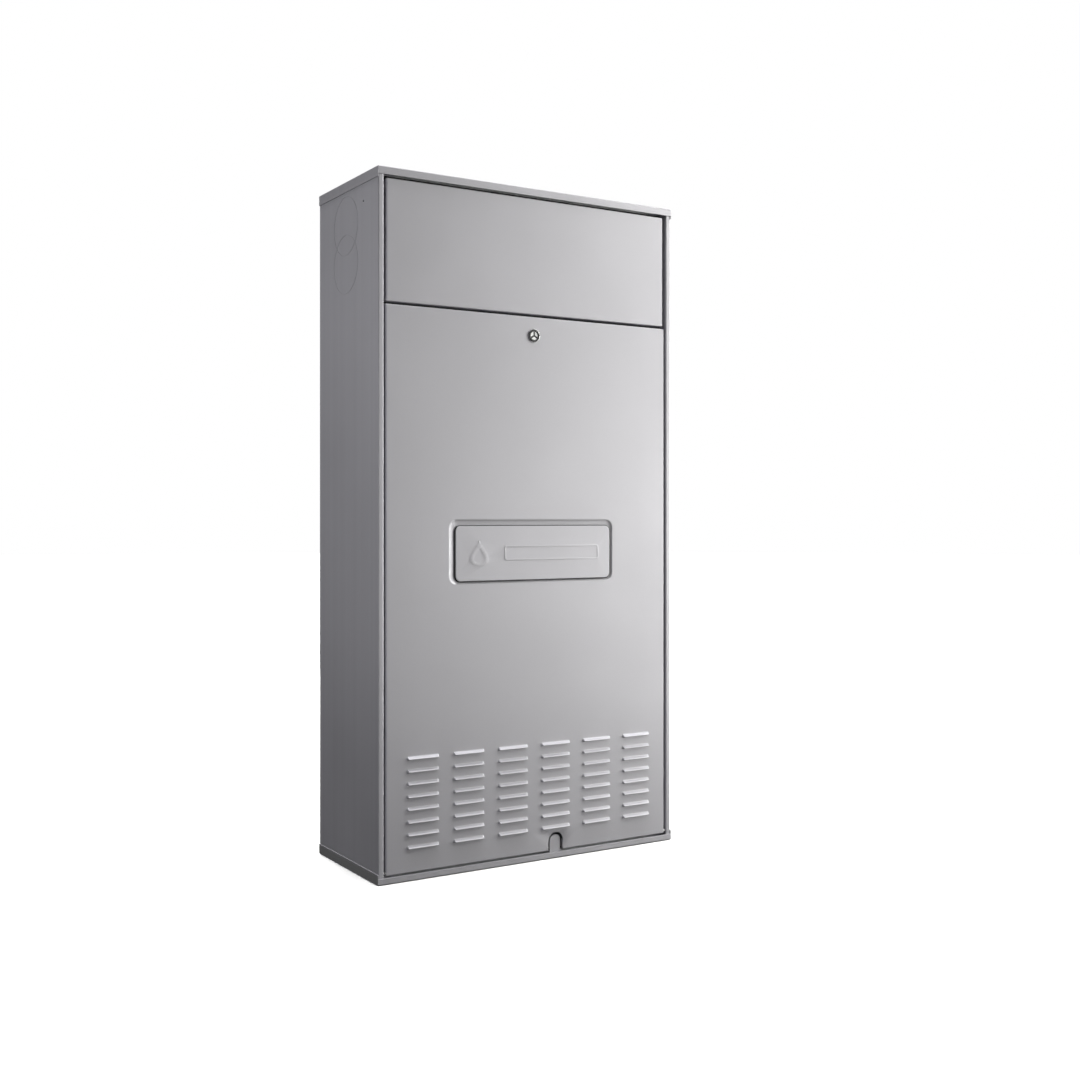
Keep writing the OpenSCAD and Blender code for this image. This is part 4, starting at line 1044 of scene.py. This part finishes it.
def make_gauge():
    """The pressure gauge's dial, printed scale, glass and bezel."""
    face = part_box("control_box")[0].y / MM
    x, _, z = middle("pressure_gauge")
    centre = (x, face, z)
    bm = bmesh.new()
    turned(bm, centre, [(0, 0.4), (17.4, 0.4), (17.8, 0.6), (17.8, 0.98), (0, 0.98)], segments=48)
    finish_part(bm, "gauge_dial", "white_plastic")
    bm = bmesh.new()
    marks = (face + 0.2, face + 0.5)         # depths of the printing's front and back
    ticks(bm, x, z, 14.6, 16.6, 41, 0.22, *marks)
    ticks(bm, x, z, 13.4, 16.8, 9, 0.55, *marks)
    for value in range(5):
        place = round_about(x, z, 10.6, DIAL_SWEEP * (value / 4 - 0.5))
        digit(bm, value, *place, 3.0, *marks)
    finish_part(bm, "gauge_scale", "black_plastic")
    bm = bmesh.new()
    turned(bm, centre, [(0, -2.85), (9, -2.8), (15, -2.65), (17.9, -2.45), (17.9, -2.1), (0, -2.1)],
           segments=48)
    finish_part(bm, "gauge_glass", "grey_plastic", look="clear")
    bm = bmesh.new()
    turned(bm, centre, [(18.0, -2.9), (18.3, -3.6), (19.4, -4.2), (21.2, -4.2), (22.4, -3.4), (22.6, -2.2)],
           segments=64, ring=True)
    finish_part(bm, "gauge_bezel", "plated_steel")


DISPLAY_W = 67.4
DISPLAY_H = 33.4
DISPLAY_ASIDE = 2.5          # to the right of halfway between the button and the gauge
FIGURE_H = 17.0
LAMP_ASIDE = 26.0            # from the display's middle
LAMP_UP = 31.0
FLUTES = 24                  # round the knob
FLUTE_DEPTH = 1.0


def make_control_panel():
    """The display, knob scale, button ring, lamps and knob of the control box."""
    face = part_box("control_box")[0].y / MM
    knob_x, _, knob_z = middle("heating_knob")
    button_x = middle("reset_button").x
    display_x = (button_x + middle("pressure_gauge").x) / 2 + DISPLAY_ASIDE
    bm = bmesh.new()
    rounded_slab(bm, display_x, knob_z, DISPLAY_W, DISPLAY_H, 1.0, face - 0.2, face + 0.97, 0.4)
    finish_part(bm, "display_glass", "black_plastic", look="screen")
    bm = bmesh.new()
    for value, aside in ((2, -12), (8, 3)):
        digit(bm, value, display_x + aside, knob_z, FIGURE_H, face - 0.3, face - 0.18)
    degree_sign = (display_x + 13.5, face - 0.3, knob_z + 6.5)
    turned(bm, degree_sign, [(1.4, 0), (2.2, 0), (2.2, 0.1), (1.4, 0.1)], ring=True)
    finish_part(bm, "display_figures", "yellow_plastic", look="lit_figures")
    bm = bmesh.new()
    marks = (face - 0.12, face + 0.1)        # depths of the printing's front and back
    ticks(bm, knob_x, knob_z, 19.5, 22.0, 31, 0.35, *marks)
    ticks(bm, knob_x, knob_z, 19.5, 24.0, 7, 0.8, *marks)
    finish_part(bm, "knob_scale", "white_plastic")
    bm = bmesh.new()
    turned(bm, (button_x, face, knob_z), [
        (8.4, 0.1), (8.4, -0.7), (9.0, -1.1), (10.2, -1.1), (10.8, -0.6), (10.8, 0.1)],
        segments=40, ring=True)
    finish_part(bm, "button_ring", "plated_steel")
    lamps = (("run_light", -LAMP_ASIDE, "yellow_plastic"), ("fault_light", LAMP_ASIDE, "red_plastic"))
    for name, aside, slot in lamps:
        bm = bmesh.new()
        place = (display_x + aside, face, knob_z + LAMP_UP)
        turned(bm, place, [(0, -1.8), (1.2, -1.6), (2.0, -1.0), (2.4, 0.1)], segments=24)
        finish_part(bm, name, slot)

    # A fluted knob with a white pointer
    low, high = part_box("heating_knob")
    front, shaft_end = low.y / MM, high.y / MM
    bm = bmesh.new()
    turned(bm, (knob_x, 0, knob_z), [
        (0, front + 0.9), (9.0, front + 0.9), (10.5, front), (13.4, front), (14.8, front + 1.2, 0.6),
        (15.4, front + 3.0, 1), (15.9, front + 10.0, 1), (16.0, front + 11.2, 0.4), (16.0, front + 12.4),
        (3.0, front + 12.4), (3.0, shaft_end), (0, shaft_end)], segments=144, ripple=(FLUTES, FLUTE_DEPTH))
    knob = finish_part(bm, "knob_cap", "grey_plastic", body="knob")
    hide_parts("heating_knob")
    bm = bmesh.new()
    bar(bm, (knob_x, knob_z + 10.2), (knob_x, knob_z + 14.2), 1.6, front, front + 2.5)
    finish_part(bm, "knob_pointer", "white_plastic", 0.1, "knob")


LEAD = (-200, -60)           # x and y of the lead that runs up from the control box
ELECTRODE = (-140, -52, 870)
SIGHT_GLASS = (-33, -38, 753)
fan = middle("fan_impeller")
pump = middle("pump_rotor")


def make_screws():
    fan_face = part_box("fan_housing")[0].y / MM + 4
    bm = bmesh.new()
    for angle in (70, 105, 140, 175, 210, 250):
        x, z = round_about(fan.x, fan.z, 69.5, angle)
        screw(bm, (x, fan_face, z), 3.2, 3.4)
    for angle in (45, 135, 225, 315):
        x, z = round_about(pump.x, pump.z, 40.2, angle)
        screw(bm, (x, -48, z), 3.0, 3.6)
    for x in (fan.x - 28, fan.x + 28):       # on the gas valve
        for z in (616, 684):
            screw(bm, (x, -20, z), 2.6, 2.6)
    finish_part(bm, "cap_screws", "plated_steel")


def make_nuts():
    bm = bmesh.new()
    for z in (388, 252):                     # above and below the pump
        nut(bm, (pump.x, 30, z), 22, 20)
    nut(bm, (fan.x, -5, 596), 16, 14)        # under the gas valve
    nut(bm, (0, 40, 179), 15.5, 13)          # over the gas tap
    nut(bm, (-170, 40, 246), 15.5, 14)       # on the flow pipe
    for x in (-45, 25):                      # under the plate exchanger
        nut(bm, (x, 48, 246), 13, 12)
    for y in (-12, 76):                      # beside the heat exchanger
        nut(bm, (-219, y, 815), 15, 12, "X")
    for x in (-112, 60):                     # plugs on the two brass groups
        nut(bm, (x, 14, 222), 9, 6, "Y")
    finish_part(bm, "union_nuts", "brass", 0.5)


def make_clamps():
    """Bands round the air silencer, with their screws, and clips on the vessel's hose."""
    bm = bmesh.new()
    for z in (836, 1024):
        turned(bm, (fan.x, 10, z), [(25.1, 0), (26.2, 0), (26.2, 9), (25.1, 9)], "Z", 48, ring=True)
        turned(bm, (fan.x, -17.5, z + 4.5), [(0, -8), (3.4, -8), (3.6, -7), (3.6, 8), (0, 8)], "X", 20)
    for z in (628, 505):
        turned(bm, (257, 66, z), [(0, 0), (8.2, 0), (8.6, 1), (8.6, 11), (8.2, 12), (0, 12)], "Z", 24)
    finish_part(bm, "hose_clamps", "stainless", 0.2)


def make_wiring_trim():
    """Glands where leads leave the control box, the ignition lead's boot, and cable ties."""
    bm = bmesh.new()
    for x, y in (LEAD, (30, -80)):
        turned(bm, (x, y, 640), [(0, 0), (6.4, 0), (6.4, 4), (5.2, 5), (3.6, 12), (0, 12)], "Z", 24)
    turned(bm, ELECTRODE, [
        (0, -14), (4.5, -13.4), (6.6, -10), (7.0, 0), (6.4, 10), (5.0, 14), (0, 14)], "Y", 28)
    turned(bm, (-140, -60, 850), [(0, 0), (3.2, 0), (4.4, 6), (5.2, 16), (0, 16)], "Z", 24)
    finish_part(bm, "boot_and_glands", "black_plastic", 0.3)
    bm = bmesh.new()
    for z in (690, 750, 810):
        turned(bm, (*LEAD, z), [(2.0, 0), (3.0, 0), (3.0, 3), (2.0, 3)], "Z", 20, ring=True)
        buckle = (LEAD[0], LEAD[1] - 3.4, z + 1.5)
        turned(bm, buckle, [(0, -1.8), (1.7, -1.8), (1.7, 1.8), (0, 1.8)], "X", 12)
    finish_part(bm, "cable_ties", "white_plastic")


def make_motor_caps():
    """Caps on the two motors, the pump's vent screw, and the sight glass in the burner door."""
    bm = bmesh.new()
    turned(bm, (fan.x, -98, fan.z), [
        (0, -1.6), (9, -1.6), (10, -0.9), (24, -0.9), (25, -2.2), (29, -2.2), (30.5, 0)], segments=64)
    turned(bm, (pump.x, -60, pump.z), [
        (0, -1.2), (13, -1.2), (14, -0.4), (25, -0.4), (26, -2.4), (31, -2.4), (33, 0)], segments=64)
    finish_part(bm, "motor_caps", "grey_plastic", look="dark_paint")
    bm = bmesh.new()
    turned(bm, (pump.x, -61.2, pump.z), [
        (0, -1.4), (4.2, -1.4), (4.2, -2.4), (8.4, -2.4), (9.4, -1.6), (9.4, 0)], segments=40)
    turned(bm, SIGHT_GLASS, [(7.6, 0), (7.6, -3.0), (8.4, -4.2), (11.0, -4.2), (12.0, -3.2), (12.0, 0)],
           segments=40, ring=True)
    finish_part(bm, "vent_screw_and_sight_ring", "brass")
    bm = bmesh.new()
    turned(bm, SIGHT_GLASS, [(0, -2.2), (7.6, -2.2), (7.6, -0.1)], segments=40)
    finish_part(bm, "sight_glass", "black_plastic", look="screen")


RIVET_COUNT = 7
RIVET_MARGIN = 40            # from a stiffener's end to its first rivet


def make_rivets():
    """Rivets along both flanges of the door's two stiffeners."""
    bm = bmesh.new()
    low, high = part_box("door_stiffeners")
    face = low.y / MM + 1
    for x in (-229, -201, 201, 229):
        for step in range(RIVET_COUNT):
            span = (high.z - low.z) / MM - 2 * RIVET_MARGIN
            z = low.z / MM + RIVET_MARGIN + step * span / (RIVET_COUNT - 1)
            turned(bm, (x, face, z), [(0, 1.5), (1.2, 1.4), (2.3, 0.9), (2.8, -0.1)], segments=20)
    finish_part(bm, "stiffener_rivets", "plated_steel", body="door")


# ---- Scene ----

make_camera()
make_lights()
make_world()
bpy.context.scene.view_settings.view_transform = "Standard"
materials = make_materials()
make_floor()
dress_nodes()
make_door()
make_badge_plate()
make_upper_panel()
make_lock_details()
make_gauge()
make_control_panel()
make_screws()
make_nuts()
make_clamps()
make_wiring_trim()
make_motor_caps()
make_rivets()
